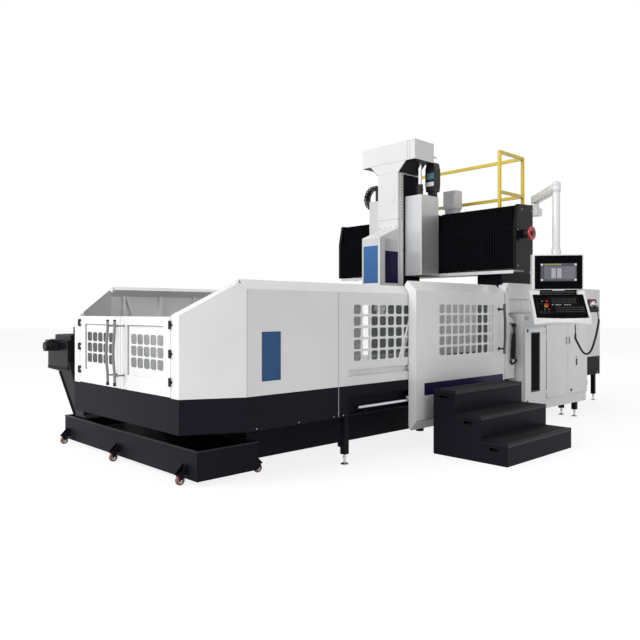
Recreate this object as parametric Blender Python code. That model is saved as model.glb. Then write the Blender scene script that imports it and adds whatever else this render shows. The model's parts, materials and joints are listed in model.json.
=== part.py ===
# Gantry machining centre: a fixed bridge over a long bed, a cross-travelling saddle with a vertical ram,
# sheet metal guarding with doors, coolant tank, chip conveyor, cabinets, stairs and a swivelling pendant.
# Frame: metres, +Z up, -Y is the front with the double door, +X is the operator side.
# The origin is the underside of the levelling pad below the gantry.

import math

import bmesh
import bpy
from mathutils import Matrix, Vector

# Clearances
SEAT = 0.0003            # between two pieces that rest on each other
RUN = 0.0005             # guides, knuckles and piston rods
FREE = 0.006             # between a moving piece and its surroundings
BITE = 0.004             # how far welded pieces run into each other

# Bed, ways and table
BED_HALF = 0.80
BED_FRONT = -4.55
BED_REAR = 3.15
BED_BASE = 0.10          # underside of the casting, on its pads
BED_SHOULDER = 0.54
BED_TOP = 0.66
BED_TOP_HALF = 0.70
WAY_TOP = 0.72
WAY_OFFSET = 0.46
WAY_WIDTH = 0.20
PAD_RADIUS = 0.055
PAD_ROWS = (-4.4, -3.0, -1.5, 0.0, 1.45, 2.9)
PAD_COLUMNS = (-0.64, 0.0, 0.64)
TABLE_HALF = 0.75
TABLE_THICK = 0.22
TABLE_FRONT = -3.10
TABLE_REAR = -0.10
TABLE_SLOTS = 7
SLOT_WIDTH = 0.022
SLOT_DEPTH = 0.045
COVER_STEPS = 5
COVER_STEP_RISE = 0.012
COVER_THICK = 0.03
COVER_NEST = 0.001       # each plate runs this much higher over the ways than the one before

# Enclosure
FRONT_Y = -5.51          # outer face of the front
FRONT_HALF = 1.093       # half width where the chamfered corners start
WALL_X = FRONT_HALF + 0.273  # outer face of the side walls
CORNER_Y = -4.97         # where the chamfered corners meet the side walls
SKIRT_LOW = 0.513
SKIRT_TOP = 0.829
FRONT_TOP = 1.569
FOLD_Z = 1.813           # where the side walls fold inward
LIP_TOP = 1.907
LIP_IN = 0.119
SHEET = 0.05             # thickness of the boxed wall panels
SEAM_Y = -3.79           # joint between the first and second side modules
DOORWAY_FRONT = -2.38
DOORWAY_REAR = -0.86
TRAY_Z = 0.517           # underside of the drip tray between skirt and bed
TRAY_THICK = 0.012
RIB = 0.04

# Side window and its punched grid
WINDOW_FRONT = -3.561
WINDOW_REAR = -2.482
WINDOW_LOW = 1.085
WINDOW_HIGH = 1.680
WINDOW_COLUMNS = 8
WINDOW_ROWS = 5
GRID_BAR = 0.024         # steel left between two cut-outs
GLASS = 0.006

# Sliding door on the operator side
DOOR_X = WALL_X + 0.120  # outer face
DOOR_FRONT = -2.66
DOOR_REAR = -0.77
DOOR_LOW = 0.25
DOOR_LOW_FOLD = 0.36
DOOR_FOLD = 1.85
DOOR_TOP = 1.965
DOOR_LIP_IN = 0.126
DOOR_SHEET = 0.03
DOOR_WINDOW = (-2.217, -1.029, 1.083, 1.694)
DOOR_COLUMNS = 9
RAIL_Z = 0.960
RAIL_SLOT = 0.068
ROD_Z = 0.585
ROD_RADIUS = 0.016

# Front double door
LEAF_EDGE = FRONT_HALF - 0.1375  # hinge line
LEAF_SHEET = 0.05
LEAF_LOW = 0.837
LEAF_PANEL = (0.137, LEAF_EDGE - 0.1255, 0.985, 1.475)
LEAF_WINDOW = (0.186, LEAF_EDGE - 0.1555, 1.063, 1.388)
LEAF_COLUMNS = 5
LEAF_ROWS = 3
LEAF_BAR = 0.016
HINGE_RADIUS = 0.0115
HINGE_LENGTH = 0.075
FRONT_HINGES = (0.974, 1.227, 1.487)

# Gantry
BEAM_NARROW = 1.25       # half length of the rear box of the beam
COLUMN_IN = 0.86
COLUMN_OUT = BEAM_NARROW
COLUMN_FRONT = -0.44
COLUMN_REAR = 0.38
BEAM_LOW = 2.17
BEAM_TOP = 3.00
BEAM_HALF = 1.60
BEAM_FRONT = -0.45
BEAM_STEP_Y = -0.30
BEAM_REAR = 0.36
BEAM_RAILS = (2.33, 2.88)
RAIL_DEEP = 0.036
RAIL_TALL = 0.045
CAP_X = BEAM_HALF + 0.048
BELLOWS_FRONT = -0.742
BELLOWS_LOW = 2.186
BELLOWS_KNEE = 2.74
BELLOWS_TOP = 3.03
BELLOWS_BACK_SLOPE = 0.062
BELLOWS_PLEATS = 14
BELLOWS_PLEAT_DEPTH = 0.035
BELLOWS_SKIN = 0.006

# Saddle and ram
HEAD_X = -0.0945         # middle of the head at rest
SADDLE_HALF = 0.4955
SADDLE_FRONT = -0.744
SADDLE_LOW = 2.18
SADDLE_TOP = 3.02
SIDE_COVER_IN = 0.1965   # from the middle of the head
SIDE_COVER_FRONT = -1.147
SIDE_COVER_LOW = 2.13
SIDE_COVER_TOP = 3.277
COVER_SHEET = 0.010
RAM_HALF = 0.1885
RAM_FRONT = -1.30
RAM_BACK = -0.79
RAM_LOW = 1.86
RAM_TOP = 3.62
RAM_RAIL = 0.125         # guide offset from the middle of the head
RAM_SHOES = (2.52, 2.90)
RAM_DOWN = 0.20
HOOD_HALF = SADDLE_HALF - 0.002
HOOD_BACK = -0.853
HOOD_LOW = 3.76
HOOD_TOP = 4.04
GUSSET_IN = 0.20
GUSSET_OUT = 0.335
HEAD_FRONT = -1.70
HEAD_LOW = 1.86
HEAD_SLOPE_LOW = 2.65
HEAD_SLOPE_TOP = 2.81
HEAD_LEFT = -0.235
HEAD_RIGHT = 0.100
SPINDLE_Y = -1.48
PISTON_X = SADDLE_HALF - 0.1435  # from the middle of the head
PISTON_Y = -1.00
PISTON_RADIUS = 0.027
CYLINDER_RADIUS = 0.045
CYLINDER_TOP = 3.45
PISTON_LOW = 2.80

# Railing
RAILING_X = BEAM_NARROW - 0.05
RAILING_FRONT = -0.41
RAILING_REAR = 0.226
RAILING_TOP = 3.86
RAILING_MID = 3.30
RAILING_BAR = 0.04

# Rear enclosure
REAR_X = 1.13
REAR_START = 0.42
REAR_END = 3.55
REAR_CHAMFER = 0.28
REAR_CORNER = 0.50       # length of the chamfer along the machine
REAR_TOP = 2.00

# Legs
LEG_BAR = 0.065
LEG_IN = 0.060
LEG_Y = -3.643
LEG_REAR = (0.906, 3.289)

# Stairs
STAIR_IN = DOOR_X + 0.148
STAIR_FRONT = -2.537
STAIR_REAR = -1.10
TREADS = ((STAIR_IN + 0.935, 0.236), (STAIR_IN + 0.617, 0.482), (STAIR_IN + 0.294, 0.732))

# Cabinets
CABINET_X = 1.580
CABINET_BACK = 1.2503
CABINET_DOOR = 0.020
SMALL_CABINET = (-0.438, 0.160, 0.300, 1.585)
SMALL_DOOR_TOP = 1.380
MAIN_CABINET = (0.165, 1.487, 0.230, 1.450)
MAIN_PLINTH = 0.14       # height of the base below the doors
COLUMN_COVER = (-0.612, 0.100, 1.590, 1.785, 2.000)
COLUMN_COVER_X = (WALL_X + 0.006, WALL_X + 0.034, WALL_X + 0.084)

# Pendant
BOOM_PIVOT = (BEAM_NARROW + 0.133, 0.255)
BOOM_Z = 3.235
BOOM_HALF = 0.050
BOOM_SEAT = 3.180        # underside of the boom's hub
PIPE_X = BEAM_HALF + 0.451
PIPE_Y = -0.437
PIPE_RADIUS = 0.0475
ELBOW_RADIUS = 0.056
ELBOW_TOP = 3.312
COLLAR_RADIUS = 0.058
COLLAR_TOP = 2.430
MONITOR = (0.645, -0.08, 0.03, 1.896, 2.352)
NECK = (0.225, 1.830)    # half width and underside of the hinge block below the screen
DECK_HALF = 0.345
PENDANT_FACING = 38.4    # degrees that the screen is turned from the front
HANDWHEEL = (0.357, 0.459)
CABLE_RADIUS = 0.013
CABLE_ROUTE = (
    (0.203, -0.160, 1.288), (0.203, -0.160, 1.268), (0.214, -0.163, 1.238), (0.229, -0.166, 1.207),
    (0.245, -0.170, 1.173), (0.262, -0.175, 1.137), (0.280, -0.181, 1.105), (0.301, -0.188, 1.081),
    (0.325, -0.196, 1.070), (0.349, -0.205, 1.077), (0.370, -0.213, 1.101), (0.388, -0.220, 1.138),
    (0.402, -0.226, 1.181), (0.415, -0.232, 1.229), (0.427, -0.237, 1.280), (0.438, -0.241, 1.334),
    (0.448, -0.245, 1.392), (0.457, -0.248, 1.440), (0.463, -0.250, 1.480), (0.463, -0.250, 1.500),
)

# Coolant tank
TANK = (-WALL_X - 0.554, FRONT_HALF - 0.063, FRONT_Y + 0.23, FRONT_Y + 0.93, 0.05, 0.33)
TANK_SHEET = 0.02
CASTERS_FRONT = (TANK[1] - 0.19, -0.497, TANK[0] + 0.128)
CASTERS_REAR = (TANK[1] - 0.08, -0.95, TANK[0] + 0.128)
CASTER_RADIUS = 0.045

# Chip conveyor that rises out of the tank to the left
CONVEYOR_Y = (TANK[2] + 0.04, TANK[3] - 0.14)
CONVEYOR_FOOT = -WALL_X - 0.034
CONVEYOR_HEEL = -WALL_X - 0.364
CONVEYOR_HEAD = (-WALL_X - 1.204, -WALL_X - 0.534, 0.855, 1.255)

# Finishes: colour, roughness, metallic
FINISHES = {
    "white": ((0.80, 0.80, 0.79), 0.35, 0.0),
    "black": ((0.035, 0.035, 0.04), 0.45, 0.0),
    "silver": ((0.62, 0.63, 0.64), 0.30, 0.8),
    "steel": ((0.55, 0.55, 0.56), 0.25, 1.0),
    "rubber": ((0.012, 0.012, 0.013), 0.80, 0.0),
    "glass": ((0.55, 0.62, 0.62), 0.08, 0.0),
    "yellow": ((0.75, 0.58, 0.05), 0.45, 0.0),
    "grey": ((0.35, 0.36, 0.37), 0.50, 0.2),
}


def clear_scene():
    for item in list(bpy.data.objects):
        bpy.data.objects.remove(item, do_unlink=True)


clear_scene()
PARTS = bpy.data.collections.new("gantry_machining_centre")
CUTTERS = bpy.data.collections.new("cutters")
bpy.context.scene.collection.children.link(PARTS)
bpy.context.scene.collection.children.link(CUTTERS)


def finish(name):
    """The Principled material of one named finish, made once."""
    if name in bpy.data.materials:
        return bpy.data.materials[name]
    colour, rough, metal = FINISHES[name]
    made = bpy.data.materials.new(name)
    made.use_nodes = True
    shader = made.node_tree.nodes["Principled BSDF"]
    shader.inputs["Base Color"].default_value = (*colour, 1.0)
    shader.inputs["Roughness"].default_value = rough
    shader.inputs["Metallic"].default_value = metal
    return made


def link(mesh, matrix, name="shape"):
    item = bpy.data.objects.new(name, mesh)
    item.matrix_world = matrix
    PARTS.objects.link(item)
    return item


def from_bmesh(shape, matrix):
    mesh = bpy.data.meshes.new("shape")
    shape.to_mesh(mesh)
    shape.free()
    return link(mesh, matrix)


def block(low, high):
    """A box between two corners."""
    low, high = Vector(low), Vector(high)
    shape = bmesh.new()
    bmesh.ops.create_cube(shape, size=1.0)
    bmesh.ops.scale(shape, vec=high - low, verts=shape.verts)
    return from_bmesh(shape, Matrix.Translation((low + high) / 2))


def cylinder(radius, start, end, sides=24, end_radius=None):
    """A round bar, or a cone, from start to end."""
    start, end = Vector(start), Vector(end)
    along = end - start
    shape = bmesh.new()
    top = radius if end_radius is None else end_radius
    bmesh.ops.create_cone(shape, cap_ends=True, segments=sides, radius1=radius, radius2=top, depth=along.length)
    turn = along.to_track_quat("Z", "Y").to_matrix().to_4x4()
    return from_bmesh(shape, Matrix.Translation((start + end) / 2) @ turn)


def as_mesh(item, merge=0.00001):
    """Turns a curve, or an object with modifiers, into a plain mesh object in the same place."""
    bpy.context.view_layer.update()
    depsgraph = bpy.context.evaluated_depsgraph_get()
    mesh = bpy.data.meshes.new_from_object(item.evaluated_get(depsgraph))
    shape = bmesh.new()
    shape.from_mesh(mesh)
    bmesh.ops.remove_doubles(shape, verts=shape.verts, dist=merge)
    shape.to_mesh(mesh)
    shape.free()
    made = link(mesh, item.matrix_world.copy())
    bpy.data.objects.remove(item, do_unlink=True)
    return made


TURNS = {
    "Z": Matrix.Identity(4),
    "Y": Matrix.Rotation(math.radians(90), 4, "X"),
    "X": Matrix.Rotation(math.radians(90), 4, "Z") @ Matrix.Rotation(math.radians(90), 4, "X"),
}


def section(outline, axis, start, end, holes=()):
    """A flat outline extruded along an axis: (y, z) along X, (x, z) along Y, (x, y) along Z."""
    data = bpy.data.curves.new("outline", "CURVE")
    data.dimensions = "2D"
    data.fill_mode = "BOTH"
    data.extrude = abs(end - start) / 2
    for loop in (outline, *holes):
        spline = data.splines.new("POLY")
        spline.points.add(len(loop) - 1)
        for point, (u, v) in zip(spline.points, loop):
            point.co = (u, v, 0, 1)
        spline.use_cyclic_u = True
    middle = Vector([(start + end) / 2 if letter == axis else 0.0 for letter in "XYZ"])
    item = bpy.data.objects.new("outline", data)
    PARTS.objects.link(item)
    item.matrix_world = Matrix.Translation(middle) @ TURNS[axis]
    return as_mesh(item)


def rod(points, radius, around=2):
    """A bent bar or tube along a list of points."""
    data = bpy.data.curves.new("path", "CURVE")
    data.dimensions = "3D"
    data.bevel_depth = radius
    data.bevel_resolution = around
    data.use_fill_caps = True
    spline = data.splines.new("POLY")
    spline.points.add(len(points) - 1)
    for point, place in zip(spline.points, points):
        point.co = (*place, 1)
    item = bpy.data.objects.new("path", data)
    PARTS.objects.link(item)
    return as_mesh(item)


def boolean(base, tools, operation, solver="EXACT"):
    for tool in tools:
        step = base.modifiers.new(operation.title(), "BOOLEAN")
        step.operation = operation
        step.solver = solver
        step.object = tool
    base = as_mesh(base)
    for tool in tools:
        bpy.data.objects.remove(tool, do_unlink=True)
    return base


def weld(base, *others, solver="EXACT"):
    """One solid from overlapping pieces."""
    return boolean(base, others, "UNION", solver)


def cut(base, *tools):
    return boolean(base, tools, "DIFFERENCE")


def name_part(item, name, look, origin=None):
    """Gives a piece its name, material and, where it turns, its origin on the joint."""
    item.name = name
    item.data.name = name
    item.data.materials.clear()
    item.data.materials.append(finish(look))
    if origin is not None:
        shift = item.matrix_world.inverted() @ Vector(origin)
        item.data.transform(Matrix.Translation(-shift))
        item.matrix_world = item.matrix_world @ Matrix.Translation(shift)
    return item


def inset_path(path, depth):
    """The same open path moved sideways to its left by depth, with mitred corners."""
    moved = []
    for index, here in enumerate(path):
        before = path[max(index - 1, 0)]
        after = path[min(index + 1, len(path) - 1)]
        into = Vector((here[0] - before[0], here[1] - before[1]))
        away = Vector((after[0] - here[0], after[1] - here[1]))
        into = into.normalized() if into.length else away.normalized()
        away = away.normalized() if away.length else into
        left = Vector((-into.y, into.x)) + Vector((-away.y, away.x))
        left = left.normalized()
        spread = depth / left.dot(Vector((-into.y, into.x)))
        moved.append((here[0] + left.x * spread, here[1] + left.y * spread))
    return moved


def band(path, depth):
    """A strip of the given depth along a path, as a closed outline."""
    return list(path) + inset_path(path, depth)[::-1]


def mirror_x(outline):
    return [(-u, v) for u, v in outline]


def grid_cells(left, right, low, high, columns, rows, bar):
    """The centres and half sizes of a grid of cut-outs."""
    wide = (right - left - bar * (columns - 1)) / columns
    tall = (high - low - bar * (rows - 1)) / rows
    for column in range(columns):
        for row in range(rows):
            yield left + column * (wide + bar), low + row * (tall + bar), wide, tall


def soft_rectangle(left, low, wide, tall, corner):
    """A rectangle with bevelled corners."""
    right, high = left + wide, low + tall
    return [
        (left + corner, low), (right - corner, low), (right, low + corner), (right, high - corner),
        (right - corner, high), (left + corner, high), (left, high - corner), (left, low + corner),
    ]


def grid_cutter(axis, start, end, cells, corner=0.016):
    """All cut-outs of one window as one cutting mesh."""
    data = bpy.data.curves.new("cells", "CURVE")
    data.dimensions = "2D"
    data.fill_mode = "BOTH"
    data.extrude = abs(end - start) / 2
    for left, low, wide, tall in cells:
        outline = soft_rectangle(left, low, wide, tall, corner)
        spline = data.splines.new("POLY")
        spline.points.add(len(outline) - 1)
        for point, (u, v) in zip(spline.points, outline):
            point.co = (u, v, 0, 1)
        spline.use_cyclic_u = True
    middle = Vector([(start + end) / 2 if letter == axis else 0.0 for letter in "XYZ"])
    item = bpy.data.objects.new("cells", data)
    PARTS.objects.link(item)
    item.matrix_world = Matrix.Translation(middle) @ TURNS[axis]
    return as_mesh(item)


def side_profile(outer, fold, top, inward, low, thick):
    """Section of a side wall with its inclined lip, in X and Z."""
    path = [(outer - inward, top), (outer, fold), (outer, low)]
    return band(path[::-1], thick)


# Bed, ways and table

def make_bed():
    half = [
        (BED_HALF, BED_BASE), (BED_HALF, BED_SHOULDER), (BED_TOP_HALF, BED_SHOULDER + 0.08),
        (BED_TOP_HALF, BED_TOP), (WAY_OFFSET + WAY_WIDTH / 2, BED_TOP), (WAY_OFFSET + WAY_WIDTH / 2, WAY_TOP),
        (WAY_OFFSET - WAY_WIDTH / 2, WAY_TOP), (WAY_OFFSET - WAY_WIDTH / 2, BED_TOP),
    ]
    outline = half + mirror_x(half)[::-1]
    bed = section(outline, "Y", BED_FRONT, BED_REAR)
    pads = [
        cylinder(PAD_RADIUS, (x, y, 0), (x, y, BED_BASE + BITE), sides=8)
        for y in PAD_ROWS for x in PAD_COLUMNS
    ]
    name_part(weld(bed, *pads, solver="MANIFOLD"), "bed", "black")


def make_table():
    low = WAY_TOP + SEAT
    high = low + TABLE_THICK
    pitch = 2 * TABLE_HALF / TABLE_SLOTS
    outline = [(-TABLE_HALF, low), (TABLE_HALF, low), (TABLE_HALF, high)]
    for index in reversed(range(TABLE_SLOTS)):
        middle = -TABLE_HALF + pitch * (index + 0.5)
        outline += [
            (middle + SLOT_WIDTH / 2, high), (middle + SLOT_WIDTH / 2, high - SLOT_DEPTH),
            (middle - SLOT_WIDTH / 2, high - SLOT_DEPTH), (middle - SLOT_WIDTH / 2, high),
        ]
    outline.append((-TABLE_HALF, high))
    name_part(section(outline, "Y", TABLE_FRONT, TABLE_REAR), "work_table", "steel")


def way_cover(name, near, far):
    """Telescopic plates that step down from the table end to the bed end, as one stack."""
    length = (far - near) / COVER_STEPS
    plates = []
    for index in range(COVER_STEPS):
        start = near + length * index
        end = near + length * (index + 1) + math.copysign(BITE, length) * (index < COVER_STEPS - 1)
        drop = COVER_STEP_RISE * index
        nest = COVER_NEST * index
        half = TABLE_HALF - 0.02 - drop
        low = BED_TOP + 0.016 + nest
        roof = WAY_TOP + SEAT + nest
        top = WAY_TOP + COVER_THICK + COVER_STEP_RISE * (COVER_STEPS - index)
        arch = [
            (-half, low), (-half, top - 0.028), (-half + 0.12, top), (half - 0.12, top), (half, top - 0.028),
            (half, low), (half - 0.006, low), (half - 0.006, roof), (-half + 0.006, roof), (-half + 0.006, low),
        ]
        plates.append(section(arch, "Y", min(start, end), max(start, end)))
    name_part(weld(*plates), name, "steel")


# Enclosure

def front_path():
    """Outer line of the front guarding in plan, from the left seam round to the right seam."""
    return [
        (-WALL_X, SEAM_Y), (-WALL_X, CORNER_Y), (-FRONT_HALF, FRONT_Y),
        (FRONT_HALF, FRONT_Y), (WALL_X, CORNER_Y), (WALL_X, SEAM_Y),
    ]


def make_front_skirt():
    wall = section(band(front_path(), SHEET), "Z", SKIRT_LOW, SKIRT_TOP)
    edge = inset_path(front_path(), SHEET / 2)
    edge = [(edge[0][0], SEAM_Y - BITE), *edge[1:-1], (edge[-1][0], SEAM_Y - BITE)]
    clear = BED_HALF + SEAT
    bed_line = [(clear, SEAM_Y - BITE), (clear, BED_FRONT - SEAT), (-clear, BED_FRONT - SEAT), (-clear, SEAM_Y - BITE)]
    tray = section(edge + bed_line, "Z", TRAY_Z, TRAY_Z + TRAY_THICK)
    name_part(weld(wall, tray), "front_skirt", "black")


def side_skirt(name, side, front, rear, recess):
    """Black band under a side wall with its tray and levelling leg."""
    outer, inner = side * WALL_X, side * (WALL_X - 0.10)
    wall = block((min(outer, inner), front, SKIRT_LOW), (max(outer, inner), rear, SKIRT_TOP))
    if recess:
        pocket = (WINDOW_FRONT - 0.08, DOORWAY_REAR - 0.04, ROD_Z - 0.055, ROD_Z + 0.125)
        wall = cut(wall, block((side * (WALL_X - 0.075), pocket[0], pocket[2]), (side * (WALL_X + 0.1), pocket[1], pocket[3])))
    tray_in, tray_out = side * (BED_HALF + SEAT), side * (WALL_X - 0.08)
    tray = block(
        (min(tray_in, tray_out), front + BITE, TRAY_Z),
        (max(tray_in, tray_out), rear - BITE, TRAY_Z + TRAY_THICK),
    )
    legs = leg_pieces(side * (WALL_X - LEG_IN), LEG_Y, SKIRT_LOW + 2 * BITE)
    name_part(weld(wall, tray, *legs), name, "black")


def leg_pieces(x, y, top):
    half = LEG_BAR / 2
    return [
        block((x - half, y - half, 0.11), (x + half, y + half, top)),
        cylinder(0.012, (x, y, 0.008), (x, y, 0.115), sides=8),
        cylinder(0.040, (x, y, 0), (x, y, 0.012), sides=10),
        cylinder(0.018, (x, y, 0.07), (x, y, 0.088), sides=6),
    ]


def make_corner_panel(side):
    """Front strip and chamfered corner, with a top that climbs to the side wall's lip."""
    strip = LEAF_EDGE + FREE / 2
    path = [(strip, FRONT_Y), (FRONT_HALF, FRONT_Y), (WALL_X, CORNER_Y)]
    outline = band(path, SHEET)
    outline[2] = (WALL_X, CORNER_Y - SEAT)
    outline[3] = (WALL_X - SHEET, CORNER_Y - SEAT)
    if side < 0:
        outline = mirror_x(outline)
    panel = section(outline, "Z", SKIRT_TOP + SEAT, LIP_TOP + 0.05)
    shape = bmesh.new()
    shape.from_mesh(panel.data)
    shape.transform(panel.matrix_world)
    slope = (LIP_TOP - FRONT_TOP) / (CORNER_Y - FRONT_Y)
    planes = [
        ((0, FRONT_Y, FRONT_TOP), (0, -slope, 1)),
        ((side * WALL_X, 0, FOLD_Z), (side * (LIP_TOP - FOLD_Z), 0, LIP_IN)),
    ]
    for point, normal in planes:
        parts = shape.verts[:] + shape.edges[:] + shape.faces[:]
        done = bmesh.ops.bisect_plane(shape, geom=parts, plane_co=point, plane_no=normal, clear_outer=True)
        edges = [piece for piece in done["geom_cut"] if isinstance(piece, bmesh.types.BMEdge)]
        bmesh.ops.holes_fill(shape, edges=edges, sides=0)
    bmesh.ops.recalc_face_normals(shape, faces=shape.faces)
    panel.matrix_world = Matrix.Identity(4)
    shape.to_mesh(panel.data)
    shape.free()
    fixed = hinge_leaves(side, FRONT_HINGES, moving=False)
    name = "corner_panel_right" if side > 0 else "corner_panel_left"
    name_part(weld(panel, *fixed), name, "white")


def hinge_leaves(side, heights, moving):
    """Butt hinge pieces on the front: the door has the middle knuckle, the post the outer two."""
    axis_y = FRONT_Y - HINGE_RADIUS - RUN
    third = HINGE_LENGTH / 3
    pieces = []
    for height in heights:
        spans = [(-0.5 * third, 0.5 * third)] if moving else [(-1.5 * third, -0.5 * third), (0.5 * third, 1.5 * third)]
        for low, high in spans:
            low, high = height + low + RUN / 2, height + high - RUN / 2
            pieces.append(cylinder(HINGE_RADIUS, (side * LEAF_EDGE, axis_y, low), (side * LEAF_EDGE, axis_y, high), sides=6))
            reach = -0.030 if moving else 0.030
            near, far = side * LEAF_EDGE, side * (LEAF_EDGE + reach)
            pad = side * (LEAF_EDGE + math.copysign(FREE / 2 + 0.002, reach))
            plate = [
                (near, FRONT_Y - 0.009), (near, FRONT_Y - 0.003), (pad, FRONT_Y - 0.003), (pad, FRONT_Y + BITE),
                (far, FRONT_Y + BITE), (far, FRONT_Y - 0.009),
            ]
            pieces.append(section(plate, "Z", low + 0.0004, high - 0.0004))
    return pieces


def make_front_door(side):
    name = "front_door_right" if side > 0 else "front_door_left"
    edge, meet = side * (LEAF_EDGE - FREE / 2), side * FREE / 2
    leaf = block((min(edge, meet), FRONT_Y, LEAF_LOW), (max(edge, meet), FRONT_Y + LEAF_SHEET, FRONT_TOP - 0.009))
    left, right, low, high = LEAF_PANEL
    spans = sorted((side * left, side * right))
    recess = block((spans[0], FRONT_Y - 0.1, low), (spans[1], FRONT_Y + 0.018, high))
    back = block((spans[0], FRONT_Y + 0.022, low), (spans[1], FRONT_Y + 0.2, high))
    spans = sorted((side * LEAF_WINDOW[0], side * LEAF_WINDOW[1]))
    cells = list(grid_cells(spans[0], spans[1], LEAF_WINDOW[2], LEAF_WINDOW[3], LEAF_COLUMNS, LEAF_ROWS, LEAF_BAR))
    grid = grid_cutter("Y", FRONT_Y - 0.05, FRONT_Y + 0.1, cells)
    leaf = cut(leaf, recess, back, grid)
    grip_x, grip_y = side * 0.075, FRONT_Y - 0.10
    bow = [(0.88, 0.0), (0.95, 0.0), (1.02, 0.012), (1.10, 0.020), (1.20, 0.022), (1.30, 0.020), (1.38, 0.012), (1.45, 0.0), (1.52, 0.0)]
    grip = rod([(grip_x, grip_y + bend, z) for z, bend in bow], 0.014)
    posts = [rod([(grip_x, grip_y, z), (grip_x, FRONT_Y + BITE, z)], 0.008) for z in (0.975, 1.465)]
    leaf = weld(leaf, grip, *posts, *hinge_leaves(side, FRONT_HINGES, moving=True))
    axis = (side * LEAF_EDGE, FRONT_Y - HINGE_RADIUS - RUN, LEAF_LOW)
    name_part(leaf, name, "white", origin=axis)
    margin = 0.02
    glass = block(
        (spans[0] - margin, FRONT_Y + 0.022 + SEAT, LEAF_WINDOW[2] - margin),
        (spans[1] + margin, FRONT_Y + 0.022 + SEAT + GLASS, LEAF_WINDOW[3] + margin),
    )
    name_part(glass, name.replace("door", "door_glass"), "glass", origin=axis)


def make_side_walls():
    low = SKIRT_TOP + SEAT
    profile = side_profile(WALL_X, FOLD_Z, LIP_TOP, LIP_IN, low, SHEET)
    near = section(profile, "Y", CORNER_Y, SEAM_Y - SEAT)
    name_part(near, "side_wall_right", "white")
    panel = section(profile, "Y", SEAM_Y, DOORWAY_FRONT)
    cells = list(grid_cells(WINDOW_FRONT, WINDOW_REAR, WINDOW_LOW, WINDOW_HIGH, WINDOW_COLUMNS, WINDOW_ROWS, GRID_BAR))
    grid = grid_cutter("X", WALL_X - 0.2, WALL_X + 0.1, cells)
    back = block(
        (WALL_X - 0.2, WINDOW_FRONT - 0.03, WINDOW_LOW - 0.03),
        (WALL_X - 0.012, WINDOW_REAR + 0.03, WINDOW_HIGH + 0.03),
    )
    slot = block(
        (WALL_X - 0.036, WINDOW_FRONT - 0.08, RAIL_Z - RAIL_SLOT / 2),
        (WALL_X + 0.1, DOORWAY_FRONT + 0.1, RAIL_Z + RAIL_SLOT / 2),
    )
    name_part(cut(panel, grid, back, slot), "window_wall_right", "white")
    glass = block(
        (WALL_X - 0.012 - SEAT - GLASS, WINDOW_FRONT - 0.02, WINDOW_LOW - 0.02),
        (WALL_X - 0.012 - SEAT, WINDOW_REAR + 0.02, WINDOW_HIGH + 0.02),
    )
    name_part(glass, "window_glass_right", "glass")
    profile = mirror_x(profile)
    far = section(profile, "Y", CORNER_Y, DOORWAY_REAR + 0.35)
    inner = -(WALL_X - SHEET)
    ribs = []
    count = 5
    for index in range(count + 1):
        y = CORNER_Y + 0.06 + (DOORWAY_REAR + 0.25 - CORNER_Y) * index / count
        ribs.append(block((inner - BITE, y, low + 0.004), (inner + RIB, y + RIB, FOLD_Z - 0.03)))
    rail = block((inner - BITE, CORNER_Y + 0.01, FOLD_Z - 0.07), (inner + RIB * 0.8, DOORWAY_REAR + 0.34, FOLD_Z - 0.050))
    brace_y = CORNER_Y + 0.06 + (DOORWAY_REAR + 0.25 - CORNER_Y) / count
    brace = section(
        [(brace_y + 0.02, FOLD_Z - 0.05), (brace_y + 0.06, FOLD_Z - 0.05), (brace_y + 0.42, low + 0.02), (brace_y + 0.38, low + 0.02)],
        "X", inner - BITE / 2, inner + RIB * 0.8,
    )
    name_part(weld(far, rail, *ribs, brace), "side_wall_left", "white")


def make_end_trim():
    """Bent white end piece behind the sliding door, with the hood box over it."""
    profile = side_profile(WALL_X, FOLD_Z, LIP_TOP, LIP_IN, SKIRT_TOP + SEAT, SHEET)
    wall = section(profile, "Y", DOORWAY_REAR, SMALL_CABINET[0] - 0.008)
    bend = section(
        [(-0.70, 0.84), (-0.70, 1.97), (-0.69, 1.97), (-0.62, 1.82), (-0.62, 1.56), (-0.46, 1.47), (-0.46, 0.84)],
        "X", WALL_X - BITE, WALL_X + 0.10,
    )
    apron = block((WALL_X + SEAT, -0.695, 0.70), (WALL_X + 0.095, -0.465, 0.845))
    name_part(weld(wall, bend, apron), "end_trim_right", "white")
    front, rear, low, middle, high = COLUMN_COVER
    lip, panel_x, box_x = COLUMN_COVER_X
    near, behind = COLUMN_OUT + SEAT, COLUMN_FRONT
    covers = []
    for face, start, end in ((panel_x, low, middle + BITE), (box_x, middle, high)):
        plan = [(lip, front), (face, front), (face, rear), (near, rear), (near, behind), (lip, behind)]
        covers.append(section(plan, "Z", start, end))
    name_part(weld(*covers), "column_cover", "white")


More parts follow.
